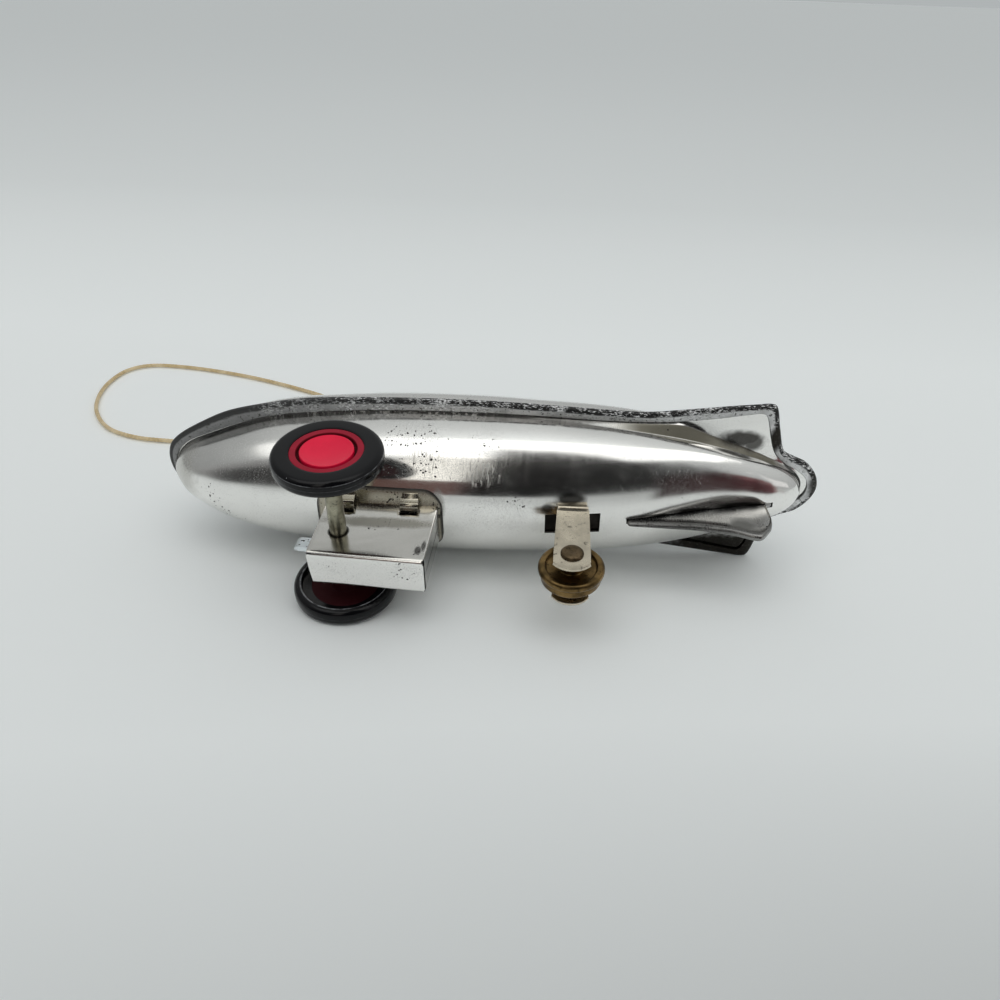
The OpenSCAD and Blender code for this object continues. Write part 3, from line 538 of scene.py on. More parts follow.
class Graph:
    """A small hand for wiring a node tree."""

    def __init__(self, tree):
        self.tree = tree

    def link(self, a, b):
        self.tree.links.new(a, b)

    def put(self, value, socket):
        """Links a socket or writes a value into an input."""
        if isinstance(value, bpy.types.NodeSocket):
            self.link(value, socket)
        else:
            socket.default_value = value

    def node(self, kind, inputs=None, **values):
        n = self.tree.nodes.new(kind)
        for key, value in values.items():
            setattr(n, key, value)
        for key, value in (inputs or {}).items():
            self.put(value, n.inputs[key])
        return n

    def ramp(self, factor, stops, smooth_steps=False):
        n = self.node("ShaderNodeValToRGB", {"Fac": factor})
        ramp = n.color_ramp
        ramp.interpolation = "EASE" if smooth_steps else "LINEAR"
        while len(ramp.elements) > 1:
            ramp.elements.remove(ramp.elements[-1])
        ramp.elements[0].position, ramp.elements[0].color = stops[0][0], as_colour(stops[0][1])
        for position, colour in stops[1:]:
            ramp.elements.new(position).color = as_colour(colour)
        return n.outputs["Color"]

    def mix(self, factor, a, b):
        """A mix of two colours; the numbers are the node's sockets for colours."""
        n = self.node("ShaderNodeMix", data_type="RGBA")
        for k, value in ((0, factor), (6, as_colour(a)), (7, as_colour(b))):
            self.put(value, n.inputs[k])
        return n.outputs[2]

    def math(self, operation, a, b=None, clamp=False):
        n = self.node("ShaderNodeMath", operation=operation, use_clamp=clamp)
        self.put(a, n.inputs[0])
        if b is not None:
            self.put(b, n.inputs[1])
        return n.outputs[0]

    def plus(self, a, b, clamp=False):
        return self.math("ADD", a, b, clamp)

    def minus(self, a, b, clamp=False):
        return self.math("SUBTRACT", a, b, clamp)

    def times(self, a, b):
        return self.math("MULTIPLY", a, b)

    def most(self, a, b):
        return self.math("MAXIMUM", a, b)

    def between(self, value, low, high):
        """0 at low and 1 at high, in proportion between them."""
        return self.node("ShaderNodeMapRange", {"Value": value, "From Min": low, "From Max": high}).outputs[0]

    def stretched(self, vector, scale):
        return self.node("ShaderNodeMapping", {"Vector": vector, "Scale": scale}).outputs[0]

    def attribute(self, name):
        return self.node("ShaderNodeAttribute", attribute_name=name).outputs["Fac"]

    def vector(self, operation, a, b):
        return self.node("ShaderNodeVectorMath", {0: a, 1: b}, operation=operation).outputs

    def noise(self, vector, scale, detail, roughness, distortion=0.0):
        return self.node("ShaderNodeTexNoise", {
            "Vector": vector, "Scale": scale, "Detail": detail, "Roughness": roughness,
            "Distortion": distortion}).outputs["Fac"]


def as_colour(c):
    """A grey level or three channels as four; a socket stays as it is."""
    if isinstance(c, bpy.types.NodeSocket):
        return c
    return (c, c, c, 1) if isinstance(c, (int, float)) else (*c, 1)


def group(name, inputs, outputs, build):
    """A shader node group with named sockets, whose inside build wires."""
    tree = bpy.data.node_groups.new(name, "ShaderNodeTree")
    for socket, kind, default in inputs:
        made = tree.interface.new_socket(socket, in_out="INPUT", socket_type=kind)
        if default is not None:
            made.default_value = default
    for socket, kind in outputs:
        tree.interface.new_socket(socket, in_out="OUTPUT", socket_type=kind)
    g = Graph(tree)
    inside = g.node("NodeGroupInput")
    outside = g.node("NodeGroupOutput")
    build(g, inside.outputs, outside.inputs)
    return tree


def pitting(g, given, out):
    """Ragged dark pits where the plating has gone: crowded in worn places, a few elsewhere."""
    worn = g.times(given["Worn"], 0.19)
    cluster = g.plus(g.noise(given["Vector"], 130.0, 3.0, 0.6), worn)
    crowd = g.ramp(cluster, [(0.0, 0.0), (0.58, 0.0), (0.76, 1.0)], True)
    shift = g.node("ShaderNodeTexNoise", {"Vector": given["Vector"], "Scale": 3500.0, "Detail": 2.0})
    bent = g.node("ShaderNodeVectorMath", {0: shift.outputs["Color"], 1: (0.0003, 0.0003, 0.0003),
                                           2: given["Vector"]}, operation="MULTIPLY_ADD").outputs[0]
    cells = g.node("ShaderNodeTexVoronoi", {"Vector": bent, "Scale": given["Pit Scale"]})
    random = g.node("ShaderNodeSeparateColor", {"Color": cells.outputs["Color"]}).outputs
    size = g.times(g.times(random[0], random[1]), given["Pit Size"])
    dot = g.math("LESS_THAN", cells.outputs["Distance"], g.times(size, crowd))
    g.link(dot, out["Mask"])
    g.link(g.minus(1.0, dot), out["Height"])


def graining(g, given, out):
    """Fine matt specks that catch the light, thicker in worn places."""
    fine = g.noise(given["Vector"], 6500.0, 2.0, 0.8)
    broad = g.times(g.minus(g.noise(given["Vector"], 170.0, 3.0, 0.6), 0.5), 0.3)
    level = g.plus(g.plus(fine, broad), g.times(given["Worn"], 0.1))
    g.link(g.ramp(level, [(0.0, 0.0), (0.58, 0.0), (0.70, 1.0)]), out["Mask"])


def placed(g, given, out):
    """1 at a place on the piece, falling to 0 at its reach with a ragged edge."""
    share = g.vector("DIVIDE", g.vector("SUBTRACT", given["Vector"], given["Centre"])[0], given["Reach"])
    far = g.node("ShaderNodeVectorMath", {0: share[0]}, operation="LENGTH").outputs["Value"]
    ragged = g.plus(far, g.times(g.noise(given["Vector"], 700.0, 3.0, 0.6), 0.5))
    g.link(g.node("ShaderNodeMapRange", {"Value": ragged, "From Min": 1.25, "From Max": 0.7},
                  interpolation_type="SMOOTHSTEP").outputs[0], out["Mask"])


def round_axle(g, given, out):
    """Millimetres out from the front axle's line, and along it from midway between the wheels."""
    off = g.vector("SUBTRACT", given["Vector"], AXLE_MIDDLE)[0]
    along = g.vector("DOT_PRODUCT", off, AXLE_LINE)["Value"]
    foot = g.node("ShaderNodeVectorMath", {0: AXLE_LINE, "Scale": along}, operation="SCALE").outputs[0]
    away = g.vector("DISTANCE", off, foot)["Value"]
    g.link(g.times(away, 1000.0), out["Radius"])
    g.link(g.times(g.math("ABSOLUTE", along), 1000.0), out["Along"])


def handling(g, given, out):
    """Soft smudges and fine wiping marks."""
    smudge = g.noise(g.stretched(given["Vector"], (0.35, 1.0, 1.0)), given["Scale"], 4.0, 0.55, 0.4)
    wiped = g.stretched(given["Vector"], (9.0, 0.4, 0.4))
    lines = g.noise(wiped, g.times(given["Scale"], 6.0), 2.0, 0.5)
    g.link(g.ramp(smudge, [(0.3, 0.0), (0.7, 1.0)], True), out["Smudge"])
    g.link(lines, out["Lines"])


# The node groups by name, filled at their first use
GROUPS = {}


def effects():
    """The effects that several finishes share."""
    if not GROUPS:
        vector, number = "NodeSocketVector", "NodeSocketFloat"
        GROUPS["pitting"] = group("Plating pits", [
            ("Vector", vector, None), ("Pit Scale", number, 1500.0), ("Pit Size", number, 0.5),
            ("Worn", number, 0.0)], [("Mask", number), ("Height", number)], pitting)
        GROUPS["handling"] = group("Handling marks", [("Vector", vector, None), ("Scale", number, 60.0)],
                                   [("Smudge", number), ("Lines", number)], handling)
        GROUPS["graining"] = group("Fine grain", [("Vector", vector, None), ("Worn", number, 0.0)],
                                   [("Mask", number)], graining)
        GROUPS["placed"] = group("Placed mark", [("Vector", vector, None), ("Centre", vector, None),
                                                 ("Reach", vector, (1, 1, 1))], [("Mask", number)], placed)
        GROUPS["round axle"] = group("Place round the axle", [("Vector", vector, None)],
                                     [("Radius", number), ("Along", number)], round_axle)
    return GROUPS


def material(name):
    """A new material, its graph, its Principled shader and its Object coordinates."""
    m = bpy.data.materials.new(name)
    m.use_nodes = True
    g = Graph(m.node_tree)
    shader = m.node_tree.nodes["Principled BSDF"]
    where = g.node("ShaderNodeTexCoord").outputs["Object"]
    return m, g, shader, where


def effect(g, name, **inputs):
    """The outputs of one of the shared effects, with its inputs set or linked."""
    return g.node("ShaderNodeGroup", {k.replace("_", " "): v for k, v in inputs.items()},
                  node_tree=effects()[name]).outputs


def bump(g, shader, height, distance):
    """Relief on a shader, whose distance is in metres."""
    n = g.node("ShaderNodeBump", {"Height": height, "Distance": distance})
    g.link(n.outputs[0], shader.inputs["Normal"])


def spots(g, where, places):
    """The strongest of some placed marks; each is a centre and a reach in mm, and a weight."""
    total = 0.0
    for centre, reach, weight in places:
        mask = effect(g, "placed", Vector=where, Centre=[v / 1000 for v in centre],
                      Reach=[v / 1000 for v in reach])["Mask"]
        total = g.most(g.times(mask, weight), total)
    return total


def band(g, value, middle, half, soft):
    """1 where a value lies within half of the middle, with soft edges."""
    off = g.math("ABSOLUTE", g.minus(value, middle))
    return g.between(off, half + soft, half - soft)


def plated(name, bright, dull, rough, pits=0.0, pit_scale=2600.0, pit_size=0.8, grain=0.28, worn=(),
           shade_spots=(), stain=(0.22, 0.205, 0.16), shade_and_soot=(), scratched=(), marked=None, extra=None):
    """Bright tinplate: smudges, a fine grain, pits in worn places, painted shade, soot and scratches."""
    m, g, shader, where = material(name)
    marks = effect(g, "handling", Vector=where, Scale=70.0)
    thick = spots(g, where, worn)
    pitted = effect(g, "pitting", Vector=where, Pit_Scale=pit_scale, Pit_Size=pit_size,
                    Worn=g.plus(thick, pits))
    specks = g.times(effect(g, "graining", Vector=where, Worn=thick)["Mask"], grain)
    # Painted shade: the given spots and the marked points darken the tin.
    painted_shade_mask = spots(g, where, shade_spots)
    if marked:
        painted_shade_mask = g.most(painted_shade_mask, g.attribute(marked))
    colour = g.mix(marks["Smudge"], bright, dull)
    colour = g.mix(painted_shade_mask, colour, stain)
    # Darker places: mostly painted shade, some soot.
    if shade_and_soot:
        colour = g.mix(spots(g, where, shade_and_soot), colour, SHADE_AND_SOOT)
    if extra:
        colour = extra(g, where, colour)
    if scratched:
        lines = g.noise(g.stretched(where, (1.0, 0.17, 0.17)), 2300.0, 2.0, 0.6, 0.5)
        lines = g.ramp(lines, [(0.54, 0.0), (0.62, 1.0)])
        lines = g.times(lines, spots(g, where, scratched))
        specks = g.most(specks, lines)
        colour = g.mix(lines, colour, SCRATCH)
    colour = g.mix(specks, colour, SPECK)
    g.link(g.mix(pitted["Mask"], colour, BARE_IRON), shader.inputs["Base Color"])
    roughness = g.plus(g.times(marks["Smudge"], rough * 0.7), g.times(marks["Lines"], rough * 0.5))
    roughness = g.plus(roughness, g.times(specks, 0.3))
    roughness = g.plus(roughness, g.times(painted_shade_mask, 0.2))
    roughness = g.plus(roughness, rough * 0.45)
    g.link(g.plus(roughness, g.times(pitted["Mask"], 0.4), clamp=True), shader.inputs["Roughness"])
    matt = g.most(g.times(pitted["Mask"], 0.7), g.times(specks, 0.75))
    matt = g.most(matt, g.times(painted_shade_mask, 0.7))
    g.link(g.minus(1.0, matt), shader.inputs["Metallic"])
    height = g.plus(g.noise(where, 110.0, 2.0, 0.4), g.times(pitted["Height"], 0.25))
    bump(g, shader, height, 0.00004)
    return m


def axle_hole_shade(g, where, colour):
    """A dark line round the axle's hole, painted as the shade there."""
    radius = effect(g, "round axle", Vector=where)["Radius"]
    ring = g.times(band(g, radius, AXLE_D / 2 + 0.2, 0.14, 0.08), 0.9)
    return g.mix(ring, colour, SHADE_AND_SOOT)


def hem_finish():
    """The folded seam, across from its outer edge: painted shade with bright chips, then greyed tin with
    specks, and a line of painted shade at its inner edge.
    """
    m, g, shader, where = material("Seam hem")
    rim = g.attribute("rim")
    x = g.node("ShaderNodeSeparateXYZ", {"Vector": where}).outputs["X"]
    back = g.between(x, *HEM_NOSE)
    fine = g.noise(where, 2300.0, 3.0, 0.75)
    broad = g.noise(where, 420.0, 3.0, 0.6)
    streaks = g.noise(g.stretched(where, (0.3, 1.0, 1.0)), 5200.0, 3.0, 0.7)
    streaks = g.plus(streaks, g.times(broad, 0.4))
    face = g.mix(back, 0.30, 0.78)
    face = g.mix(g.ramp(broad, [(0.35, 0.0), (0.7, 0.55)]), face, 0.2)
    ragged = g.plus(rim, g.times(g.minus(broad, 0.5), 0.35))
    # Painted shade: dark on the rolled outer edge and along the groove at the inner edge.
    edge = g.ramp(ragged, [(0.14, 1.0), (0.30, 0.0)])
    inner = g.ramp(rim, [(0.90, 0.0), (0.98, 0.8)])
    chips = g.times(g.ramp(streaks, [(0.73, 0.0), (0.78, 1.0)]),
                    g.most(spots(g, where, HEM_CHIPS), g.times(edge, back)))
    holes = g.ramp(fine, [(0.34, 1.0), (0.43, 0.0)])
    # HEM_DARK adds painted shade near the table and darker patches at the tail.
    dark = spots(g, where, HEM_DARK)
    colour = g.mix(g.most(edge, inner), face, 0.04)
    colour = g.mix(chips, colour, 0.85)
    colour = g.mix(dark, colour, SHADE_AND_SOOT)
    g.link(g.mix(holes, colour, SHADE_AND_SOOT), shader.inputs["Base Color"])
    g.link(g.plus(0.28, g.times(fine, 0.3)), shader.inputs["Roughness"])
    matt = g.most(holes, g.minus(chips, dark, clamp=True))
    matt = g.most(matt, g.minus(1.0, back))
    g.link(g.minus(1.0, g.times(matt, 0.8)), shader.inputs["Metallic"])
    bump(g, shader, fine, 0.00005)
    return m


def plain_metal(name, base, dark, rough, scale=300.0, shade_and_soot=()):
    """A worn metal: two shades, a grain, small scratches and places darkened as painted shade."""
    m, g, shader, where = material(name)
    tone = g.noise(where, scale, 5.0, 0.6)
    specks = g.noise(where, scale * 4, 3.0, 0.6)
    colour = g.mix(g.ramp(tone, [(0.3, 0.0), (0.7, 1.0)], True), base, dark)
    if shade_and_soot:
        colour = g.mix(spots(g, where, shade_and_soot), colour, SHADE_AND_SOOT)
    scratched = g.mix(g.ramp(specks, [(0.62, 0.0), (0.7, 0.75)]), colour, tuple(c * 0.25 for c in dark))
    g.link(scratched, shader.inputs["Base Color"])
    g.link(g.plus(rough * 0.7, g.times(tone, rough * 0.6)), shader.inputs["Roughness"])
    shader.inputs["Metallic"].default_value = 1.0
    bump(g, shader, g.plus(tone, g.times(specks, 0.4)), 0.00002)
    return m


def moulded(name, colour, rough, sheen, specks, mottle=0.12, paint=None):
    """Moulded plastic with scuffs and dust specks; sheen is its specular level."""
    m, g, shader, where = material(name)
    tone = g.noise(where, 220.0, 4.0, 0.6)
    darker = tuple(c * (1 - mottle) for c in colour)
    base = g.mix(g.ramp(tone, [(0.35, 0.0), (0.65, 1.0)], True), colour, darker)
    if paint:
        base = paint(g, where, base)
    cells = g.node("ShaderNodeTexVoronoi", {"Vector": where, "Scale": 520.0})
    random = g.node("ShaderNodeSeparateColor", {"Color": cells.outputs["Color"]})
    dot = g.math("LESS_THAN", cells.outputs["Distance"], g.times(random.outputs[0], 0.12))
    few = g.math("GREATER_THAN", random.outputs[1], 0.75)
    mask = g.times(g.times(dot, few), specks)
    g.link(g.mix(mask, base, (0.35, 0.36, 0.37)), shader.inputs["Base Color"])
    scuff = g.noise(g.stretched(where, (1, 6, 1)), 500.0, 3.0, 0.6)
    g.link(g.plus(rough, g.times(scuff, rough * 0.8)), shader.inputs["Roughness"])
    shader.inputs["Specular IOR Level"].default_value = sheen
    bump(g, shader, g.plus(scuff, tone), 0.000012)
    return m


def tyre_highlights_and_wear(g, where, base):
    """Painted highlight lines on the shoulder and the tread, broken up by a noise, and a lighter lip behind,
    partly wear and partly painted highlight.
    """
    at = effect(g, "round axle", Vector=where)
    worn = g.ramp(g.noise(where, 800.0, 4.0, 0.65), [(0.40, 0.15), (0.62, 1.0)])
    # The shoulder and tread lines are painted highlights.
    shoulder = g.times(band(g, at["Along"], HALF_TRACK - 0.62, 0.04, 0.05), 0.5)
    seam = g.times(band(g, at["Along"], HALF_TRACK - WHEEL_T / 2, 0.03, 0.04), 0.22)
    flat = WHEEL_D / 2 - TYRE_ROUND
    lines = g.times(g.most(shoulder, seam), g.math("GREATER_THAN", at["Radius"], flat))
    lip = g.times(band(g, at["Along"], HALF_TRACK - WHEEL_T, 0.14, 0.1),
                  band(g, at["Radius"], flat - 0.12, 0.1, 0.1))
    return g.mix(g.times(g.most(lines, g.times(lip, 0.9)), worn), base, (0.42, 0.43, 0.45))


def hub_painted_shade(g, where, base):
    """Painted shade: a dark groove round the cap, and a darker red behind, where the box shades the hub."""
    at = effect(g, "round axle", Vector=where)
    groove = g.times(band(g, at["Radius"], (CAP_R + RING_R) / 2, (RING_R - CAP_R) / 2, 0.05), 0.9)
    behind = g.between(at["Along"], HALF_TRACK - 1.0, HALF_TRACK - 1.2)
    return g.mix(behind, g.mix(groove, base, (0.03, 0.001, 0.001)), (0.035, 0.004, 0.006))


def thread_finish(colours):
    """Cream and gold thread: lighter plies with a golden core."""
    m, g, shader, where = material("Gold thread")
    fibres = g.noise(where, 2600.0, 4.0, 0.7)
    broad = g.noise(where, 300.0, 2.0, 0.5)
    darker = tuple(c * 0.6 for c in colours.cord)
    colour = g.mix(g.ramp(fibres, [(0.35, 0.0), (0.65, 1.0)]), colours.cord, darker)
    colour = g.mix(g.ramp(broad, [(0.4, 0.0), (0.7, 0.6)]), colour, (0.90, 0.76, 0.52))
    g.link(colour, shader.inputs["Base Color"])
    shader.inputs["Roughness"].default_value = 0.7
    shader.inputs["Sheen Weight"].default_value = 0.35
    shader.inputs["Sheen Roughness"].default_value = 0.4
    bump(g, shader, fibres, 0.00008)
    return m


# Colours that several finishes share
# The first near black is for painted shade as well as soot and holes.
SHADE_AND_SOOT, BARE_IRON = (0.035, 0.032, 0.028), (0.02, 0.018, 0.016)
SPECK, SCRATCH = (0.5, 0.49, 0.47), (0.9, 0.86, 0.78)

# Between these two x, in metres, the seam's tin turns from dull at the nose to bright
HEM_NOSE = (-0.034, 0.0)

# Where the finish is worn, darkened as painted shade, dark with soot or chipped: a centre and a reach in
# millimetres in the imported frame, and a weight
HULL_WORN = (((-12, -0.5, 24), (7, 3.5, 3), 1.0), ((0, -1.5, 24), (5, 3, 3), 0.8),
             ((4, -6.5, 14), (9, 3, 5), 1.0), ((-6, -5, 21), (11, 3, 3.5), 0.9),
             ((-46, -2, 12), (5, 5, 5), 0.1))
# A painted shadow at the saddle plate's rear end, and a warm painted reflection at the nose
HULL_SHADOW_SPOTS = (((-6.5, -6.5, 14.5), (1.2, 3, 4), 0.5), ((-52, 3, 14), (8, 8, 7), 0.4))
# Painted shade and dark reflection by the rear bracket, along the lower fin's slot and over the side fin near
# the table, and two darker patches at the tail
HULL_PAINTED_SHADE = (((14.2, -5.5, 17.1), (3.1, 2.5, 1.4), 0.95), ((10.6, -6.2, 15.4), (1.2, 2, 1.1), 0.8),
             ((41.0, 4.5, 24.6), (4.6, 3, 2.0), 0.95), ((43.0, 4.6, 23.9), (2.2, 3, 2.0), 0.9),
             ((27.5, -3.5, 13.8), (5, 3, 0.55), 0.9), ((34.5, -2, 14.3), (5, 3, 0.7), 0.95),
             ((41.5, 0, 14.85), (5, 3, 0.8), 0.95), ((44, 9, 2.0), (20, 6, 4), 1.0))
HULL_SCRATCHES = (((0, -5, 20.3), (3.6, 3, 2.6), 1.0), ((-9, -4.4, 21), (4, 3, 2.4), 0.6))
HEM_CHIPS = (((-19, 4, 26.5), (9, 4, 3), 1.0), ((-6, 4, 27), (9, 4, 3), 1.0),
             ((-32, 4, 25), (8, 4, 3), 0.5), ((30, 4, 28), (16, 4, 3), 0.6))
# Painted shade on the seam over the side fin near the table, and darker patches at the tail
HEM_DARK = (((46.4, 4.6, 24.8), (1.5, 3, 3.4), 1.0), ((44, 9, 2.0), (20, 6, 4), 1.0),
            ((55, 6, 17), (2.0, 4, 5), 0.9))
# Painted shade in the hollow of the lower fin's panel near its tip, and under the slot at its root
FIN_DARK = (((43.5, -7, 12), (4.5, 3, 5), 1.0), ((41.5, -5, 14), (3, 3, 1), 0.8))
WALL_WORN = (((-7.9, -17.0, 13.2), (1.8, 2.6, 2), 1.0),)
WALL_SOOT = (((-8.1, -17.4, 13.2), (0.7, 1.2, 1.2), 0.9), ((-7.4, -16.4, 13.2), (0.5, 1.6, 1.2), 0.9))
# Painted shade and dark reflection along the top of the box's wall, under the saddle plate
WALL_SHADE_BAND = (((-14.5, -11.5, 13.9), (12, 1.6, 2), 0.7),)
FLOOR_WORN = (((-9.5, -20, 10.5), (4.5, 2, 3), 1.0), ((-20, -19, 10), (2.5, 2, 2), 0.6))
# A painted shadow in the crease near the top of the bracket's ear
EAR_CREASE = (((14.3, -7.1, 16.0), (4, 0.35, 0.5), 0.9),)

# The finishes by name, filled at their first use
FINISHES = {}


def finishes():
    """All the finishes, made once from the colours that were set."""
    if FINISHES:
        return FINISHES
    c = bpy.context.scene.airship_colours
    tin = tuple(c.tin)

    def shade(k, warm=0.0):
        return tin[0] * k, tin[1] * (k - warm * 0.3), tin[2] * (k - warm)

    FINISHES.update({
        # The hull's shadow spots, darker places and marked facet are mostly painted shade and reflection.
        "hull": plated("Bright tin hull", tin, shade(0.9), 0.165, worn=HULL_WORN, shade_spots=HULL_SHADOW_SPOTS,
                       shade_and_soot=HULL_PAINTED_SHADE, scratched=HULL_SCRATCHES, marked="stain"),
        "hem": hem_finish(),
        # The fin's dark spots are painted shade.
        "fin": plated("Fin tin", shade(0.7), shade(0.4), 0.22, 0.3, shade_spots=FIN_DARK,
                      stain=(0.12, 0.12, 0.11)),
        "bead": plated("Fin bead tin", shade(0.42), shade(0.12), 0.28, 1.0, 4200.0, 0.9, 0.8),
        # The saddle's edge is darkened as a painted shadow.
        "saddle": plated("Saddle tin", shade(0.52, 0.12), shade(0.26, 0.05), 0.3, 0.7, 3000.0, 0.9, 0.7,
                         stain=SHADE_AND_SOOT, marked="edge"),
        "lug": plated("Lug tin", (0.86, 0.91, 0.92), (0.7, 0.75, 0.78), 0.35, 0.4),
        "gondola": plated("Gondola floor tin", tin, shade(0.93), 0.14, worn=FLOOR_WORN),
        # The wall and the flap are darker copies of the floor's tin, painted shade on the one folded box; the
        # wall's band and the ring round its hole are painted shade too.
        "wall": plated("Gondola wall tin", shade(0.78, 0.03), shade(0.56, 0.04), 0.2, 0.2, worn=WALL_WORN,
                       shade_spots=WALL_SHADE_BAND, shade_and_soot=WALL_SOOT, extra=axle_hole_shade),
        "flap": plated("Gondola flap tin", shade(0.6), shade(0.3), 0.25, 0.4),
        # The inside of the tin is near black: painted shade.
        "inside": plain_metal("Inside of the tin", (0.05, 0.045, 0.04), BARE_IRON, 0.6),
        "nickel": plain_metal("Nickel strip", tuple(c.nickel), tuple(v * 0.68 for v in c.nickel), 0.28,
                              shade_and_soot=EAR_CREASE),
        "rivet": plain_metal("Tarnished rivet", (0.17, 0.12, 0.07), (0.06, 0.045, 0.025), 0.4, 600.0),
        "brass": plain_metal("Old brass", tuple(c.brass), tuple(v * 0.22 for v in c.brass), 0.3, 350.0),
        "steel": plain_metal("Axle steel", tuple(c.steel), tuple(v * 0.5 for v in c.steel), 0.3, 500.0),
        "tyre": moulded("Black tyre", tuple(c.tyre), 0.11, 0.24, 1.0, paint=tyre_highlights_and_wear),
        "hub": moulded("Red hub", tuple(c.hub), 0.45, 0.12, 0.3, paint=hub_painted_shade),
        "cap": moulded("Red cap", tuple(c.cap), 0.16, 0.3, 0.3, mottle=0.05),
        "gap": plain_metal("Dark joint", BARE_IRON, (0.01, 0.01, 0.01), 0.6),
        "thread": thread_finish(c),
    })
    return FINISHES


# The pieces

def give_looks(piece, *names):
    """Gives a piece several finishes, which its faces take by number."""
    for name in names:
        piece.data.materials.append(finishes()[name])


def half_shell(name, section, side):
    """One pressed half of the hull with its share of the seam and of the side fins."""
    rows = [section(q) for q in STATIONS]
    half = len(rows[0]) - 1
    hem_starts = len(shell_section(STATIONS[0])) - 1

    def at(i, j):
        p = rows[i][abs(j - half)]
        return Vector((p.x, math.copysign(p.y, j - half), p.z * side))

    def zone(i, j):
        return 1 if abs(j - half) > hem_starts else 0

    def rim(i, j):
        """0 at the hem's outer edge, 1 at its inner edge."""
        p, q = rows[i][abs(j - half)], STATIONS[i]
        edge, hem = Vector((q.edge_x, q.edge)), Vector((q.hem_x, q.hem))
        out, width = (Vector((p.x, p.y)) - edge).length - 0.5, (hem - edge).length - 0.5
        return clamped(out / max(0.1, width))

    def stain(i, j):
        """The facet along the crease, towards the tail, darkened as painted shade."""
        x, k = STATIONS[i].x, abs(j - half)
        along = clamped((x - SHADE_X0) / SHADE_IN) * clamped((SHADE_X1 - x) / SHADE_OUT)
        return along if FACET[0] <= k <= FACET[1] else 0

    piece = sheet(name, len(rows) - 1, 2 * half, at, zone, {"rim": rim, "stain": stain})
    give_looks(piece, "hull", "hem", "inside")
    outward(piece)
    point_away(piece, Vector((0, 0, side)))
    if side < 0:
        open_slot(piece, REAR_X - SLOT_L / 2, REAR_X + SLOT_L / 2, SLOT_W / 2, side)
    open_slot(piece, FIN_X0 - FIN_SLOT_GAP, FIN_X1 + FIN_SLOT_GAP, FIN_PANEL_T / 2 + FIN_SLOT_GAP, side)
    # The inner skin takes the near black inside finish, painted shade.
    finish(piece, "SOLIDIFY", thickness=TIN, offset=-1, use_quality_normals=True, material_offset=2)
    return piece


def point_away(piece, direction):
    """Turns all the faces round if the face furthest along a direction looks the other way."""
    far = max(piece.data.polygons, key=lambda p: p.center.dot(direction))
    if far.normal.dot(direction) < 0:
        editing(piece)
        bpy.ops.mesh.select_all(action="SELECT")
        bpy.ops.mesh.flip_normals()
        at_rest()


def choose(piece, test):
    """Selects the faces whose middle passes the test, in edit mode."""
    bpy.ops.mesh.select_mode(type="FACE")
    bpy.ops.mesh.select_all(action="DESELECT")
    mesh = bmesh.from_edit_mesh(piece.data)
    for f in mesh.faces:
        f.select_set(test(f.calc_center_median()))
    bmesh.update_edit_mesh(piece.data)


def open_slot(piece, x0, x1, half, side):
    """Cuts a slot along the keel through a sheet that is still a single skin."""
    reach = 1.5

    def near(c):
        return x0 - reach < c.x < x1 + reach and abs(c.y) < half + reach and c.z * side > 1

    editing(piece)
    for spot, normal in (((x0, 0, 0), (1, 0, 0)), ((x1, 0, 0), (1, 0, 0)),
                         ((0, half, 0), (0, 1, 0)), ((0, -half, 0), (0, 1, 0))):
        choose(piece, near)
        bpy.ops.mesh.bisect(plane_co=spot, plane_no=normal)
    choose(piece, lambda c: x0 < c.x < x1 and abs(c.y) < half and c.z * side > 1)
    bpy.ops.mesh.delete(type="FACE")
    at_rest()


class AIRSHIP_OT_hull(bpy.types.Operator):
    """Presses the two halves of the hull and folds the upper one's seam round the lower one's"""
    bl_idname = "airship.hull"
    bl_label = "Hull"

    def execute(self, context):
        for name, section, side, node in (("hull_belly", lower_section, -1, "lower_hull"),
                                          ("hull_top", upper_section, 1, "upper_hull")):
            shell = half_shell(name, section, side)
            dress(shell, "hull", "bright_tin", nodes=[node], angle=40)
        return {"FINISHED"}


def fin_edge():
    """The fin's outline as x and distance from the axis, from one root corner to the other."""
    nose_r = belly(FIN_X0) + 1.1
    mid_r = nose_r + (FIN_TIP_R - nose_r) * 0.05
    tip = [(-3.6, -1.1), (-0.7, -0.1), (0.2, 0), (0.9, -0.4), (2.4, -2.6), (2.6, -4.2)]
    corners = [(FIN_X0, belly(FIN_X0) - FIN_ROOT), (FIN_X0, nose_r), (FIN_MID_X, mid_r)]
    corners += [(FIN_TIP_X + x, FIN_TIP_R + r) for x, r in tip]
    corners += [(FIN_HEEL_X, belly(FIN_HEEL_X) + 0.5), (FIN_X1, belly(FIN_X1) + 0.2),
                (FIN_X1, belly(FIN_X1) - FIN_ROOT)]
    return evenly(through([Vector((x, 0, r)) for x, r in corners], 0.7, 5), 0.2)


def fin_profile(length):
    """Half the fin's thickness against the distance from its edge: a bead and then the panel."""
    bead, panel, steps = FIN_BEAD_T / 2, FIN_PANEL_T / 2, 6
    scale = min(1, length / 2.6)
    profile = [(bead - bead * math.cos(a), bead * math.sin(a)) for a in quarter(steps)]
    profile += [(0.95, bead), (1.15, bead * 0.9), (1.3, panel * 1.25), (1.5, panel * 0.85)]
    profile = [(d * scale, t) for d, t in profile]
    start, thin = profile[-1]
    return profile + [(start + (length - start) * k / steps, thin) for k in range(1, steps + 1)]


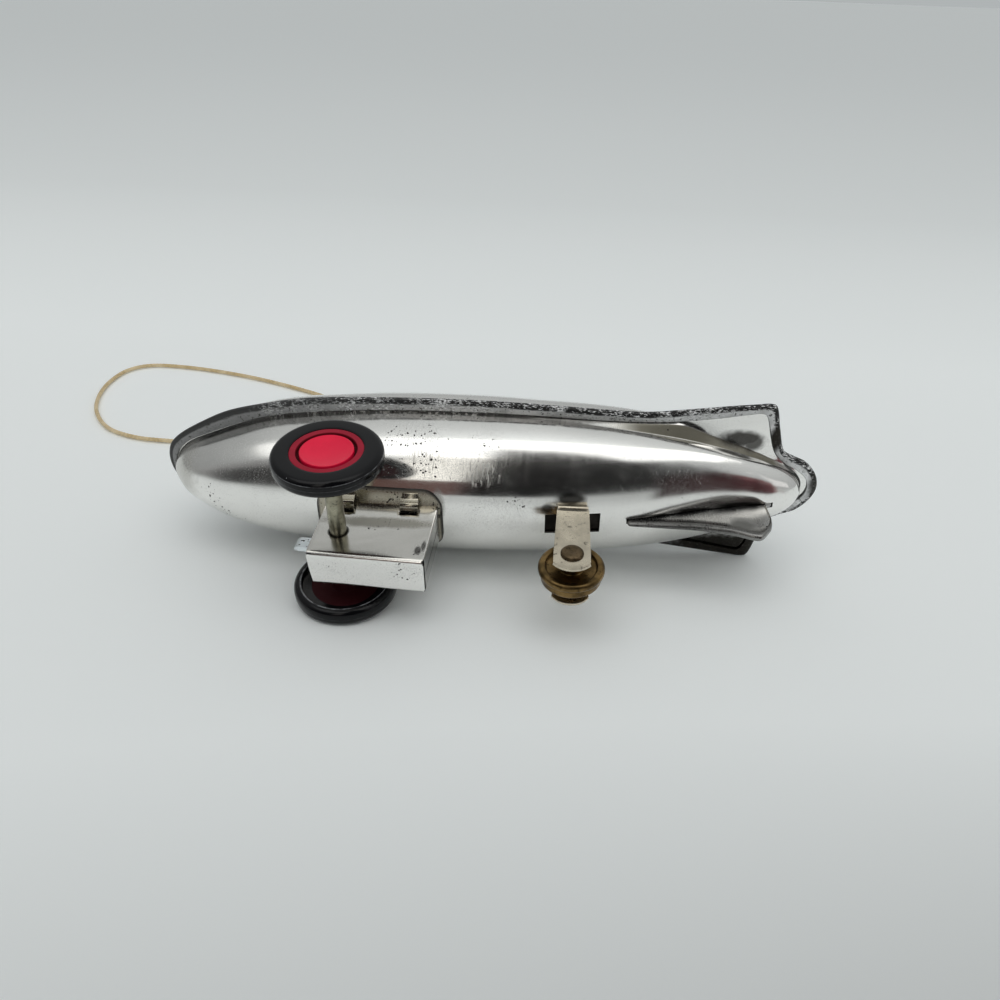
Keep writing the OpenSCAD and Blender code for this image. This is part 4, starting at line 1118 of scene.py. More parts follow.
def fin(name, side):
    """A pressed fin: a thin panel with a bead round its edge."""
    edge = fin_edge()
    count = len(fin_profile(9)) - 1

    def at(i, j):
        e = edge[i]
        x = min(max(e.x, FIN_X0 + FIN_INSET), FIN_X1 - FIN_INSET)
        root = Vector((x, 0, belly(x) - FIN_ROOT))
        away = root - e
        d, t = fin_profile(away.length)[abs(j - count)]
        p = e + away.normalized() * d
        t *= min(1, BEAD_FRONT + (1 - BEAD_FRONT) * max(0, p.x - FIN_X0) / BEAD_RUN)
        return Vector((p.x, math.copysign(t, j - count), p.z * side))

    def zone(i, j):
        return 1 if abs(j - count) < BEAD_ROWS else 0

    piece = sheet(name, len(edge) - 1, 2 * count, at, zone)
    give_looks(piece, "fin", "bead")
    return outward(piece, close_ends=True)


class AIRSHIP_OT_fins(bpy.types.Operator):
    """Presses the lower and the upper fin, each in its slot in the hull"""
    bl_idname = "airship.fins"
    bl_label = "Vertical fins"

    def execute(self, context):
        for name, side, node in (("fin_below", -1, "lower_fin"), ("fin_above", 1, "upper_fin")):
            dress(fin(name, side), "hull", "bright_tin", nodes=[node], angle=50)
        return {"FINISHED"}


def under_saddle(low):
    """Where a line that rises from a low point of the box meets the saddle plate."""
    up = PITCHED.to_3x3() @ Vector((0, 0, 1))
    p = low.copy()
    for _ in range(4):
        target = -(belly(p.x, p.y) + SEAT_GAP + TIN + SEAT_GAP)
        p = low + up * ((target - low.z) / up.z)
    return p


def wall_plan():
    """One wall seen from above, from its front end to its rear flap's edge at the middle."""
    x0, x1, y = GONDOLA_MID - GONDOLA_L / 2, GONDOLA_MID + GONDOLA_L / 2, GONDOLA_W / 2
    corner = [(x1 - REAR_BEND + REAR_BEND * math.sin(a), y - REAR_BEND + REAR_BEND * math.cos(a))
              for a in quarter(CORNER_STEPS)]
    along = [(x0 + (x1 - REAR_BEND - x0) * k / WALL_STEPS, y) for k in range(WALL_STEPS)]
    flap = [(x1, y - REAR_BEND - (y - REAR_BEND - FLAP_GAP / 2) * k / CORNER_STEPS)
            for k in range(1, CORNER_STEPS + 1)]
    return along + corner + flap


def gondola_sheet():
    """The folded box: floor, rounded bends, side walls and the two flaps of the rear end."""
    plan = wall_plan()
    foot = -GONDOLA_FLOOR + BEND_R

    def wall(side):
        def at(i, j):
            x, y = plan[j]
            low = PITCHED @ Vector((x, side * y, foot))
            return low.lerp(under_saddle(low), i / WALL_ROWS)

        return sheet("wall", WALL_ROWS, len(plan) - 1, at)

    parts = [wall(-1), wall(1)]
    half = GONDOLA_W / 2
    section = [(-half + BEND_R - BEND_R * math.cos(a), foot - BEND_R * math.sin(a)) for a in quarter(8)]
    flat = [(-half + BEND_R + (GONDOLA_W - 2 * BEND_R) * k / FLOOR_STEPS, -GONDOLA_FLOOR)
            for k in range(1, FLOOR_STEPS)]
    section = section + flat + [(-y, z) for y, z in reversed(section)]
    xs = [plan[k][0] for k in range(WALL_STEPS + 1)] + [GONDOLA_MID + GONDOLA_L / 2]
    last = len(xs) - 1

    def floor(i, j):
        y, z = section[i]
        x = xs[j]
        if j == 0:
            x += FLOOR_CUT * max(0, (y + half) / GONDOLA_W) ** 2
        if j == last and abs(y) > half - BEND_R:
            x -= FLOOR_SHORT
        return PITCHED @ Vector((x, y, z))

    parts.append(sheet("floor", len(section) - 1, last, floor))
    pick(parts[-1])
    for part in parts:
        part.select_set(True)
    bpy.ops.object.join()
    piece = bpy.context.object
    piece.name = piece.data.name = "gondola_box"
    outward(piece, 0.001)
    point_away(piece, Vector((0, 0, -1)))
    return piece


def gondola_box():
    """The folded box as sheet metal, with the axle's holes and the slits of the tongues."""
    piece = gondola_sheet()
    piece.data.materials.clear()
    give_looks(piece, "gondola", "wall", "flap", "gap", "gap", "gap")
    # Faces turned sideways take the wall tin and those turned back the flap tin, darker copies as painted
    # shade.
    for p in piece.data.polygons:
        p.material_index = 1 if abs(p.normal.y) > 0.8 else 2 if abs(p.normal.x) > 0.8 else 0
    finish(piece, "SOLIDIFY", thickness=TIN, offset=-1, use_quality_normals=True, material_offset_rim=3)
    drill = add("drill", bpy.ops.mesh.primitive_cylinder_add, vertices=64,
                radius=AXLE_D / 2 + HOLE_PLAY, depth=3 * GONDOLA_W)
    place(drill, ON_AXLE)
    cut(piece, drill)
    for x in TONGUES:
        cut(piece, block("slit", (x - TONGUE_W / 2, -GONDOLA_W, -TONGUE_LOW - SLIT_H),
                         (x + TONGUE_W / 2, GONDOLA_W, -TONGUE_LOW)))
    soften(piece, 0.07)
    return piece


def saddle_half(x):
    """Half the saddle plate's width at x, narrower at its rounded corners."""
    e = min(x - SADDLE_X0, SADDLE_X0 + SADDLE_L - x)
    return SADDLE_W / 2 - SADDLE_CORNER + math.sqrt(
        max(0, SADDLE_CORNER ** 2 - max(0, SADDLE_CORNER - e) ** 2))


def saddle():
    """The plate between hull and box, which follows the belly and has rounded corners."""
    rows, columns = 60, 40

    def at(i, j):
        x = SADDLE_X0 + SADDLE_L * (1 - math.cos(math.pi * i / rows)) / 2
        y = saddle_half(x) * (2 * j / columns - 1)
        return Vector((x, y, -belly(x, y) - SEAT_GAP))

    def edge(i, j):
        """1 along the plate's edge, which is darkened as a painted shadow."""
        p = at(i, j)
        off = min(p.x - SADDLE_X0, SADDLE_X0 + SADDLE_L - p.x, saddle_half(p.x) - abs(p.y))
        return clamped(1.5 - off / 0.35)

    piece = sheet("saddle_plate", rows, columns, at, marks={"edge": edge})
    give_looks(piece, "saddle", "gap")
    outward(piece)
    point_away(piece, Vector((0, 0, -1)))
    finish(piece, "SOLIDIFY", thickness=TIN, offset=1, use_quality_normals=True, material_offset_rim=1)
    soften(piece, 0.09, 55)
    return piece


def tongue(x, side):
    """A tab of the saddle plate, turned down beside the box with its lip in the wall's slit."""
    edge = SADDLE_W / 2 - 0.35
    knee = TONGUE_Y + 0.3

    def skin(y, out):
        return (y * side, -belly(x, y) - SEAT_GAP - TIN - out)

    corners = [skin(edge, 0.12), skin((edge + knee) / 2, 0.3), skin(knee, 0.45),
               (side * (TONGUE_Y + 0.12), -TONGUE_LOW + 0.75), (side * (TONGUE_Y + 0.3), -TONGUE_LOW + 0.4),
               (side * (TONGUE_Y - 0.05), -TONGUE_LOW + 0.05),
               (side * (GONDOLA_W / 2 - 0.2), -TONGUE_LOW - 0.12)]
    line = through([Vector((0, y, z)) for y, z in corners], 0.35, 4)
    widths = [TONGUE_W * (0.84 + 0.16 * min(1, k / len(line) * 1.8)) for k in range(len(line))]
    piece = strip("tongue", [(p.y, p.z) for p in line], widths, TIN * 0.9, x)
    soften(piece, 0.08)
    return outward(piece)


def front_panel():
    """The panel that closes the box's front end, with a corner bent forwards as a lug."""
    half = GONDOLA_W / 2 - TIN - SEAT_GAP
    low = -GONDOLA_FLOOR + TIN + SEAT_GAP
    x = GONDOLA_MID - GONDOLA_L / 2 + 0.5
    rows, columns = 12, 10

    def plate(i, j):
        y = half * (2 * j / columns - 1)
        inset = max(0, abs(y) - half + 0.45)
        foot = PITCHED @ Vector((x, y, low + inset))
        return foot.lerp(under_saddle(foot), i / rows)

    piece = sheet("gondola_front", rows, columns, plate)
    outward(piece)
    finish(piece, "SOLIDIFY", thickness=TIN, offset=0)
    y, z = -half + TIN / 2, low + 0.85
    tip_x = GONDOLA_MID - GONDOLA_L / 2 - LUG_L + 0.3
    corners = [Vector((x + 0.2, y, z)), Vector((tip_x, y, z)), Vector((tip_x - 0.1, -half + 0.9, z))]
    line = through(corners, 0.6, 6)
    last, across = len(line) - 1, 8

    def lug(i, j):
        t = 2 * j / across - 1
        tall = LUG_H / 2 * math.sqrt(max(0.05, 1 - (i / last) ** 6 * 0.6))
        return PITCHED @ (line[i] + Vector((0, 0, LUG_H / 2 + t * tall)))

    tab = sheet("lug", last, across, lug)
    outward(tab)
    finish(tab, "SOLIDIFY", thickness=LUG_T, offset=0)
    soften(tab, LUG_ROUND, segments=3)
    return piece, tab


class AIRSHIP_OT_gondola(bpy.types.Operator):
    """Folds the gondola's box and sets it under its saddle plate with the four tongues"""
    bl_idname = "airship.gondola"
    bl_label = "Gondola"

    def execute(self, context):
        looks = finishes()
        dress(gondola_box(), "hull", "bright_tin", nodes=["gondola_shell"], angle=32)
        dress(saddle(), "hull", "bright_tin", nodes=["gondola_saddle"], angle=32)
        count = 0
        for x in TONGUES:
            for side in (-1, 1):
                count += 1
                tab = tongue(x, side)
                tab.name = f"saddle_tongue_{count}"
                dress(tab, "hull", "bright_tin", looks["saddle"])
        panel, lug = front_panel()
        dress(panel, "hull", "bright_tin", looks["gondola"], ["gondola_front_panel"])
        dress(lug, "hull", "bright_tin", looks["lug"])
        lug.name = "gondola_front_lug"
        return {"FINISHED"}


def bracket_strip(side):
    """One ear of the rear bracket, up through the slot in the hull."""
    inner = EARS_W / 2 - EAR_T / 2
    ear_top = belly(REAR_X) + 0.8
    neck = SLOT_W / 2 - CLIP_INSET - EAR_T / 2
    under = belly(REAR_X - EAR_TOP_W / 2, neck) + 0.15 + EAR_T / 2
    corners = [(inner, REAR_Z), (inner, -ear_top), (inner + 0.4, -ear_top + 0.4),
               (inner - 0.1, -ear_top + 0.75), (neck, -under), (neck, -under + 1.6)]
    line = through([Vector((0, y, z)) for y, z in corners], (0.2, 0.2, 0.25, 0.3), 4)
    foot, columns = 10, 16
    total = foot + len(line) - 1

    def at(i, j):
        u = j / columns * 2 - 1
        if i < foot:
            x = u * EAR_W / 2
            drop = math.sqrt(EAR_END_R ** 2 - x * x)
            t = 1 - i / foot
            flare = 0.1 * max(0, t - 0.85) / 0.15
            return Vector((REAR_X + x, side * (inner + flare), REAR_Z - drop * t))
        p = line[i - foot]
        share = clamped((p.z - REAR_Z) / (-ear_top - REAR_Z))
        wide = EAR_W + (EAR_TOP_W - EAR_W) * share
        if p.z > -ear_top + 0.1:
            wide = EAR_TOP_W * 0.94
        return Vector((REAR_X + u * wide / 2, side * p.y, p.z))

    piece = sheet("bracket_ear_" + ("port" if side < 0 else "starboard"), total, columns, at)
    outward(piece)
    finish(piece, "SOLIDIFY", thickness=EAR_T, offset=0)
    soften(piece, 0.09)
    return outward(piece)


def bracket_clip():
    """The bracket's plate on the inside of the hull, over the slot."""
    x0, x1 = REAR_X - SLOT_L / 2 - CLIP_LIP, REAR_X + SLOT_L / 2 + CLIP_LIP
    y, steps = SLOT_W / 2 - CLIP_INSET, 8
    z0, z1 = -belly(x0, y), -belly(x1, y)

    def at(i, j):
        x = x0 + (x1 - x0) * i / steps
        return Vector((x, y * (j - 1), z0 + (z1 - z0) * i / steps + TIN + 0.2 + EAR_T / 2))

    piece = sheet("bracket_clip", steps, 2, at)
    finish(piece, "SOLIDIFY", thickness=EAR_T, offset=0)
    return outward(piece)


def pin():
    """The riveted pin: its shank and its two spread heads."""
    h, r, s, t = EARS_W / 2 + 0.01, PIN_HEAD_D / 2, PIN_D / 2, 0.55
    half = [(s, 0.0), (s, h), (r - 0.1, h), (r, h + 0.12), (r - 0.25, h + t - 0.15), (r - 0.75, h + t),
            (0.5, h + t - 0.06), (LATHE_TIP_R, h + t - 0.1)]
    profile = [(a, -b) for a, b in reversed(half[1:])] + half
    piece = turned_on_lathe("rear_pin", profile, 64, closed=False)
    soften(piece, 0.06, 30)
    return place(piece, ON_PIN)


class AIRSHIP_OT_rear_bracket(bpy.types.Operator):
    """Bends the rear wheel's bracket and rivets its pin"""
    bl_idname = "airship.rear_bracket"
    bl_label = "Rear bracket and pin"

    def execute(self, context):
        looks = finishes()
        for side in (-1, 1):
            ear = bracket_strip(side)
            dress(ear, "hull", "nickel_strip", looks["nickel"], ["rear_bracket"])
        # The clip takes the near black inside finish, painted shade that keeps the slot dark.
        dress(bracket_clip(), "hull", "nickel_strip", looks["inside"])
        dress(pin(), "hull", "rivet_metal", looks["rivet"], ["rear_axle_pin"], 30)
        return {"FINISHED"}


def rear_wheel():
    """The turned brass wheel: a broad flange on the port side and a lower tread beside it."""
    r, h, boss = REAR_D / 2, REAR_T / 2, (EARS_W - 2 * EAR_T - 0.3) / 2
    bore = PIN_D / 2 + BORE_GAP
    profile = [(bore, -boss), (1.8, -boss), (1.8, -h + 0.55), (r - 1.2, -h + 0.55), (r - 1.1, -h + 0.05),
               (r - 0.35, -h), (r, -h + 0.35), (r, -0.42), (r - 0.28, -0.12), (r - 0.5, -0.04),
               (r - 0.42, 0.1), (r - 0.4, h - 0.35), (r - 0.75, h), (r - 1.2, h), (r - 1.2, h - 0.55),
               (1.8, h - 0.55), (1.8, boss), (bore, boss)]
    reach = [0.05, 0.1, 0.2, 0.15, 0.1, 0.2, 0.2, 0.2, 0.1, 0.05, 0.05, 0.2, 0.2, 0.1, 0.15, 0.2, 0.1, 0.05]
    piece = turned_on_lathe("rear_wheel_brass", rounded(profile, reach, 3), 128)
    return place(piece, ON_PIN)


class AIRSHIP_OT_rear_wheel(bpy.types.Operator):
    """Turns the brass rear wheel"""
    bl_idname = "airship.rear_wheel"
    bl_label = "Rear wheel"

    def execute(self, context):
        dress(rear_wheel(), "rear_roller", "wheel_brass", finishes()["brass"], ["rear_wheel"], 30)
        return {"FINISHED"}


def axle():
    """The front axle with a turned end and a spread head in each hub."""
    a, s, head = AXLE_D / 2, SPIGOT_D / 2, HEAD_D / 2
    low, high = PORT_FACE + WHEEL_T + BOSS_L + SHOULDER_GAP, STARBOARD_FACE - WHEEL_T - BOSS_L - SHOULDER_GAP
    seat_low, seat_high = PORT_FACE + SEAT_Z - SHOULDER_GAP, STARBOARD_FACE - SEAT_Z + SHOULDER_GAP
    end_low, end_high = seat_low - HEAD_T, seat_high + HEAD_T
    profile = [(LATHE_TIP_R, end_low), (head - 0.2, end_low), (head, end_low + 0.2), (head, seat_low),
               (s, seat_low), (s, low), (a - 0.12, low), (a, low + 0.12), (a, high - 0.12),
               (a - 0.12, high), (s, high), (s, seat_high), (head, seat_high), (head, end_high - 0.2),
               (head - 0.2, end_high), (LATHE_TIP_R, end_high)]
    return place(turned_on_lathe("axle_rod", profile, 64, closed=False), ON_AXLE)


class AIRSHIP_OT_axle(bpy.types.Operator):
    """Turns the front axle"""
    bl_idname = "airship.axle"
    bl_label = "Front axle"

    def execute(self, context):
        dress(axle(), "axle", "axle_steel", finishes()["steel"], ["front_axle"], 30)
        return {"FINISHED"}


def tyre(name):
    """A tyre with rounded shoulders, a faint seam on its tread and a dished back."""
    r, t, q = WHEEL_D / 2, WHEEL_T, TYRE_ROUND
    inner = HUB_D / 2 + 0.01

    def shoulder(z, way):
        return [(r - q + q * math.sin(a), z + way * q * math.cos(a)) for a in quarter(8)]

    back = rounded([(inner, -0.06), (inner, -TYRE_WEB), (r - q - 0.3, -TYRE_WEB), (r - q - 0.25, -t + 0.02),
                    (r - q, -t)], [0, 0, 0.15, 0.08, 0], 3)
    tread = [(r, -t / 2 - 0.12), (r + 0.01, -t / 2 - 0.05), (r + 0.01, -t / 2 + 0.05), (r, -t / 2 + 0.12)]
    front = rounded([(r - q, 0), (inner + 0.3, 0), (inner + 0.12, -0.03)], [0, 0.1, 0.05], 2)
    profile = back + shoulder(q - t, -1)[1:] + tread + list(reversed(shoulder(-q, 1)))[:-1] + front
    return turned_on_lathe(name, profile, 144)


def hub(name):
    """The matt red ring and the groove round the cap, and the plate and long boss behind them."""
    r, groove = HUB_D / 2, -0.75
    seat, back = (HEAD_D + 0.12) / 2, -WHEEL_T - BOSS_L
    bore = SPIGOT_D / 2 + BORE_GAP
    profile = [(bore, back), (BOSS_D / 2, back), (BOSS_D / 2, -TYRE_WEB), (r, -TYRE_WEB), (r, -0.1),
               (RING_R, -0.1), (RING_R - 0.06, groove), (CAP_HOLE_R, groove), (CAP_HOLE_R, -CAP_ROOM),
               (seat, -CAP_ROOM), (seat, -SEAT_Z), (bore, -SEAT_Z)]
    reach = [0.08, 0.15, 0.25, 0.05, 0.16, 0.12, 0.1, 0.05, 0.05, 0.05, 0.05, 0.05]
    return turned_on_lathe(name, rounded(profile, reach, 4), 128)


def cap(name):
    """The glossy cap in the hub, dished towards its middle."""
    r, rim, edge, depth, steps = CAP_R, 0.28, -0.1, 0.5, 14
    dish = (r * r + depth * depth) / 2 / depth
    profile = [(LATHE_TIP_R, -CAP_ROOM), (r, -CAP_ROOM), (r, edge - 0.15), (r - 0.05, edge - 0.04),
               (r - 0.15, edge), (r - rim, edge - 0.03)]
    for k in range(1, steps + 1):
        x = (r - rim) * (1 - k / steps) + LATHE_TIP_R
        profile.append((x, edge - depth + dish - math.sqrt(dish * dish - x * x)))
    return turned_on_lathe(name, profile, 128, closed=False)


class AIRSHIP_OT_wheels(bpy.types.Operator):
    """Turns the two front wheels, each a tyre, a red hub and a dished cap"""
    bl_idname = "airship.wheels"
    bl_label = "Front wheels"

    def execute(self, context):
        looks = finishes()
        for side, where in (("port", PORT_SIDE), ("starboard", STARBOARD_SIDE)):
            body = side + "_wheel"
            for piece, slot, look, node in ((tyre(side + "_tyre_rubber"), "black_tyre", "tyre", "_tyre"),
                                            (hub(side + "_hub_ring"), "red_hub", "hub", "_hub"),
                                            (cap(side + "_cap_dish"), "red_cap", "cap", "_hub_cap")):
                place(piece, where)
                dress(piece, body, slot, looks[look], [side + node], 30)
        return {"FINISHED"}


def eye():
    """The hanger eye: a wire ring, its shank through the hull and the cross wire inside."""
    foot, w = belly(EYE_X), EYE_WIRE / 2
    ring = add("hanger_eye_ring", bpy.ops.mesh.primitive_torus_add, major_segments=72, minor_segments=20,
               major_radius=(EYE_D + EYE_WIRE) / 2, minor_radius=w)
    upright = Matrix.Rotation(math.pi / 2, 4, "X")
    place(ring, Matrix.Translation((EYE_X, 0, foot + EYE_D / 2 + EYE_WIRE)) @ upright)
    profile = [(LATHE_TIP_R, -CROSS_LOW), (w, -CROSS_LOW), (w, -0.1), (w + 0.25, 0.02), (w + 0.35, 0.12),
               (w + 0.2, 0.3), (LATHE_TIP_R, 0.5)]
    shank = turned_on_lathe("hanger_eye_shank", profile, 32, closed=False)
    place(shank, Matrix.Translation((EYE_X, 0, foot)))
    middle = Vector((EYE_X, 0, foot - CROSS_LOW))
    reach = Vector((CROSS_HALF, w, w))
    cross = block("hanger_eye_cross", middle - reach, middle + reach)
    finish(cross, "BEVEL", width=0.15, segments=3)
    return ring, shank, cross


class AIRSHIP_OT_hanger_eye(bpy.types.Operator):
    """Bends the wire eye that the cord is tied to"""
    bl_idname = "airship.hanger_eye"
    bl_label = "Hanger eye"

    def execute(self, context):
        nickel = finishes()["nickel"]
        ring, shank, cross = eye()
        dress(ring, "hull", "nickel_strip", nickel, ["hanger_eye"], 60)
        dress(shank, "hull", "nickel_strip", nickel, angle=60)
        dress(cross, "hull", "nickel_strip", nickel, angle=40)
        return {"FINISHED"}


def knot():
    """The knot at the eye: the same thread drawn tight in a trefoil."""
    turns, steps = [], 144
    for k in range(steps + 1):
        t = 2 * math.pi * k / steps
        turns.append(Vector((math.sin(t) + 2 * math.sin(2 * t), math.cos(t) - 2 * math.cos(2 * t),
                             -1.6 * math.sin(3 * t))) * KNOT_D * 0.108)
    piece = thread("cord_knot_tied", evenly(turns, 0.12), CORD_D / 2 * 0.9, 1.9, 0.16)
    middle = Vector((EYE_X, 0, belly(EYE_X) + 1.5 * EYE_D + 1.5 * EYE_WIRE - EYE_D / 2))
    return place(piece, Matrix.Translation(middle) @ Matrix.Rotation(math.pi / 2, 4, "X"))


class AIRSHIP_OT_cord(bpy.types.Operator):
    """Lays the hanging cord on the table and ties both its ends at the eye"""
    bl_idname = "airship.cord"
    bl_label = "Hanging cord"

    def execute(self, context):
        look = finishes()["thread"]
        form = context.scene.airship_form
        line = evenly(along_path(CORD, 12), 0.0002)
        cord = thread("cord", line, CORD_D / 2000, form.cord_twist, form.cord_depth)
        dress(cord, "hull", "gold_cord", look, ["hanging_cord"], 70, lay=False)
        tied = knot()
        dress(tied, "hull", "gold_cord", look, ["cord_knot"], 70)
        route = line[::5] + [line[-1]]
        length = sum((b - a).length for a, b in zip(route, route[1:]))
        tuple(route[0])
        return {"FINISHED"}


# The table, the light and the camera

# The table's painted shading against y, the room's tones against the angle above the table in degrees, and
# how much darker the room is on the left
TABLE_PAINTED_SHADING = ((-0.09, 0.73), (-0.055, 0.92), (-0.04, 1.0), (0.03, 1.05), (0.11, 1.10), (0.178, 1.07),
               (0.234, 1.04), (0.312, 0.99), (0.4, 0.98))
ROOM_TONES = ((0, 0.36), (20, 0.40), (30, 0.44), (40, 0.48), (56, 0.50), (64, 0.54), (72, 0.60), (80, 0.72),
              (87, 0.84), (90, 0.86))
LEFT_SHADE = 0.32

# The table's width and the cards' usual place, in metres, and the tone of the darkest ones
TABLE_SIZE, CARDS_Y, NEAR_BLACK = 80, -0.5, (0.004, 0.004, 0.004)

# The lamp, and the camera's place in metres, its directions and its lens in millimetres
LAMP_PLACE, LAMP_SIZE, LAMP_COLOUR = (0, -0.27, 0.8), (1.4, 0.5), (1.0, 0.99, 0.97)
CAMERA_PLACE = (0.010488, -0.133822, 0.086776)
CAMERA_RIGHT = Vector((0.996618, 0.075254, 0.033008))
CAMERA_DOWN = Vector((0.065141, -0.478638, -0.875593))
CAMERA_AHEAD = Vector((-0.050093, 0.874782, -0.481922))
CAMERA_LENS, SENSOR_WIDTH, NEAREST_SEEN = 33.56, 36, 0.005


def table_look(colour):
    """A matt pale table with painted shading: darker towards the front edge and far behind."""
    m, g, shader, where = material("Pale table")
    shader.inputs["Roughness"].default_value = 0.9
    shader.inputs["Specular IOR Level"].default_value = 0.15
    at = g.node("ShaderNodeSeparateXYZ", {"Vector": where}).outputs
    near_x = g.node("ShaderNodeMapRange", {"Value": at["X"], "From Min": -0.1, "From Max": 0.1,
                                           "To Min": -0.1, "To Max": 0.1}).outputs[0]
    front = g.times(g.math("MINIMUM", at["Y"], 0.0), 4.0)
    y = g.plus(at["Y"], g.times(front, near_x))
    y0, y1 = TABLE_PAINTED_SHADING[0][0], TABLE_PAINTED_SHADING[-1][0]
    share = g.math("DIVIDE", g.minus(y, y0), y1 - y0)
    stops = [((y - y0) / (y1 - y0), tuple(v * k for v in colour)) for y, k in TABLE_PAINTED_SHADING]
    g.link(g.ramp(share, stops), shader.inputs["Base Color"])
    return m


def card(name, low, high, *tones, y=CARDS_Y, seen=False, raised=0.0):
    """An upright card toned from left to right, that only reflections see, or only the camera.

    Its top left corner stands higher by raised.
    """
    x0, z0 = low
    x1, z1 = high
    piece = add(name, bpy.ops.mesh.primitive_plane_add, size=1, rotation=(math.pi / 2, 0, 0),
                location=((x0 + x1) / 2, y, (z0 + z1) / 2))
    piece.scale = (x1 - x0, z1 - z0, 1)
    for corner in piece.data.vertices:
        if corner.co.x < 0 < corner.co.y:
            corner.co.y += raised / (z1 - z0)
    m, g, shader, where = material(name + " face")
    share = g.plus(g.node("ShaderNodeSeparateXYZ", {"Vector": where}).outputs["X"], 0.5)
    g.link(g.ramp(share, tones), shader.inputs["Emission Color"])
    shader.inputs["Emission Strength"].default_value = 1
    shader.inputs["Base Color"].default_value = (0, 0, 0, 1)
    shader.inputs["Specular IOR Level"].default_value = 0
    piece.data.materials.append(m)
    piece.visible_camera = seen
    piece.visible_glossy = not seen
    piece.visible_diffuse = False
    piece.visible_shadow = False


def set_cards():
    """The dark, grey, red and pale things round the ornament that its tin reflects, and the far wall."""
    card("dark_side", (-0.042, 0.0), (0.46, 0.68), (0, NEAR_BLACK))
    card("dark_above", (-0.014, 0.28), (0.16, 0.345), (0, NEAR_BLACK), y=-0.25, raised=0.65)
    card("dark_left", (-2.2, 0.0), (-0.19, 0.40), (0, 0.3), (0.35, 0.2), (0.65, 0.08), (0.82, 0.03),
         (1, 0.02))
    card("grey_left", (-2.2, 0.40), (-0.19, 0.66), (0, 0.36), (0.6, 0.24), (1, 0.18))
    card("window", (-0.185, 0.2), (-0.044, 0.9), (0, (1.0, 0.98, 0.92)))
    card("warm_side", (-0.188, 0.0), (-0.043, 0.2), (0, (0.09, 0.05, 0.04)), (1, (0.12, 0.075, 0.07)))
    card("red_side", (0.461, 0.0), (0.72, 0.25), (0, (0.10, 0.03, 0.035)), (1, (0.2, 0.1, 0.1)))
    card("pale_side", (0.74, 0.14), (1.9, 0.52), (0, 0.72))
    card("near_red", (0.058, 0.0), (0.125, 0.03), (0, (0.012, 0.008, 0.008)), (0.35, (0.04, 0.012, 0.014)),
         (0.75, (0.10, 0.033, 0.038)), (1, (0.30, 0.22, 0.21)), y=-0.05)
    card("far_wall", (-60, 0.0), (60, 12), (0, (0.43, 0.455, 0.46)), y=39.9, seen=True)


def set_lamp(power):
    """The soft lamp over the ornament."""
    bpy.ops.object.light_add(type="AREA", location=LAMP_PLACE)
    lamp = bpy.context.object
    lamp.name = "soft_lamp"
    lamp.data.shape = "RECTANGLE"
    lamp.data.size, lamp.data.size_y = LAMP_SIZE
    lamp.data.energy = power
    lamp.data.color = LAMP_COLOUR


def set_room(colour, strength):
    """The pale room as a world that is toned by height and darker on the left."""
    world = bpy.data.worlds.new("Pale room")
    world.use_nodes = True
    g = Graph(world.node_tree)
    sky = g.node("ShaderNodeTexCoord").outputs["Generated"]
    toward_sky = g.node("ShaderNodeSeparateXYZ", {"Vector": sky}).outputs
    background = world.node_tree.nodes["Background"].inputs
    tones = [(math.sin(math.radians(e)), tuple(v * k for v in colour)) for e, k in ROOM_TONES]
    g.link(g.ramp(toward_sky["Z"], tones), background["Color"])
    left = g.node("ShaderNodeMapRange", {"Value": toward_sky["X"], "From Min": -0.2, "From Max": -0.9},
                  interpolation_type="SMOOTHSTEP").outputs[0]
    share = g.minus(1.0, g.times(left, LEFT_SHADE))
    g.link(g.times(share, strength), background["Strength"])
    bpy.context.scene.world = world


def set_camera():
    """The camera, where the photograph was taken from."""
    bpy.ops.object.camera_add()
    camera = bpy.context.object
    camera.name = "camera"
    turn = Matrix((CAMERA_RIGHT, -CAMERA_DOWN, -CAMERA_AHEAD)).transposed()
    camera.matrix_world = Matrix.Translation(CAMERA_PLACE) @ turn.to_4x4()
    camera.data.lens = CAMERA_LENS
    camera.data.sensor_width = SENSOR_WIDTH
    camera.data.clip_start = NEAREST_SEEN
    camera.data.dof.use_dof = False
    bpy.context.scene.camera = camera


class AIRSHIP_OT_stage(bpy.types.Operator):
    """Sets the table, the room with what the tin reflects, the soft lamp and the camera"""
    bl_idname = "airship.stage"
    bl_label = "Stage"

    def execute(self, context):
        light = context.scene.airship_light
        floor = add("table_top", bpy.ops.mesh.primitive_plane_add, size=TABLE_SIZE)
        floor.data.materials.append(table_look(tuple(light.table)))
        set_cards()
        set_lamp(light.lamp_power)
        set_room(light.room, light.room_strength)
        set_camera()
        context.scene.view_settings.view_transform = "Standard"
        return {"FINISHED"}


# What a user may change, and the panel that lists it

def colour_value(name, description, default):
    return bpy.props.FloatVectorProperty(name=name, description=description, default=default, size=3,
                                         subtype="COLOR", min=0, max=1)


class AirshipColours(bpy.types.PropertyGroup):
    tin: colour_value("Tin", "Bright tinplate of the hull and the gondola", (0.94, 0.93, 0.90))
    nickel: colour_value("Nickel", "Nickelled strip of the rear bracket", (0.76, 0.68, 0.54))
    brass: colour_value("Brass", "Tarnished brass of the rear wheel", (0.27, 0.175, 0.07))
    steel: colour_value("Steel", "Yellowed steel of the front axle", (0.42, 0.40, 0.30))
    tyre: colour_value("Tyre", "Black of the tyres", (0.004, 0.004, 0.005))
    hub: colour_value("Hub", "Matt red of the hub ring", (0.40, 0.022, 0.045))
    cap: colour_value("Cap", "Glossy red of the cap", (0.94, 0.009, 0.06))
    cord: colour_value("Cord", "Gold and cream thread of the cord", (0.80, 0.60, 0.32))


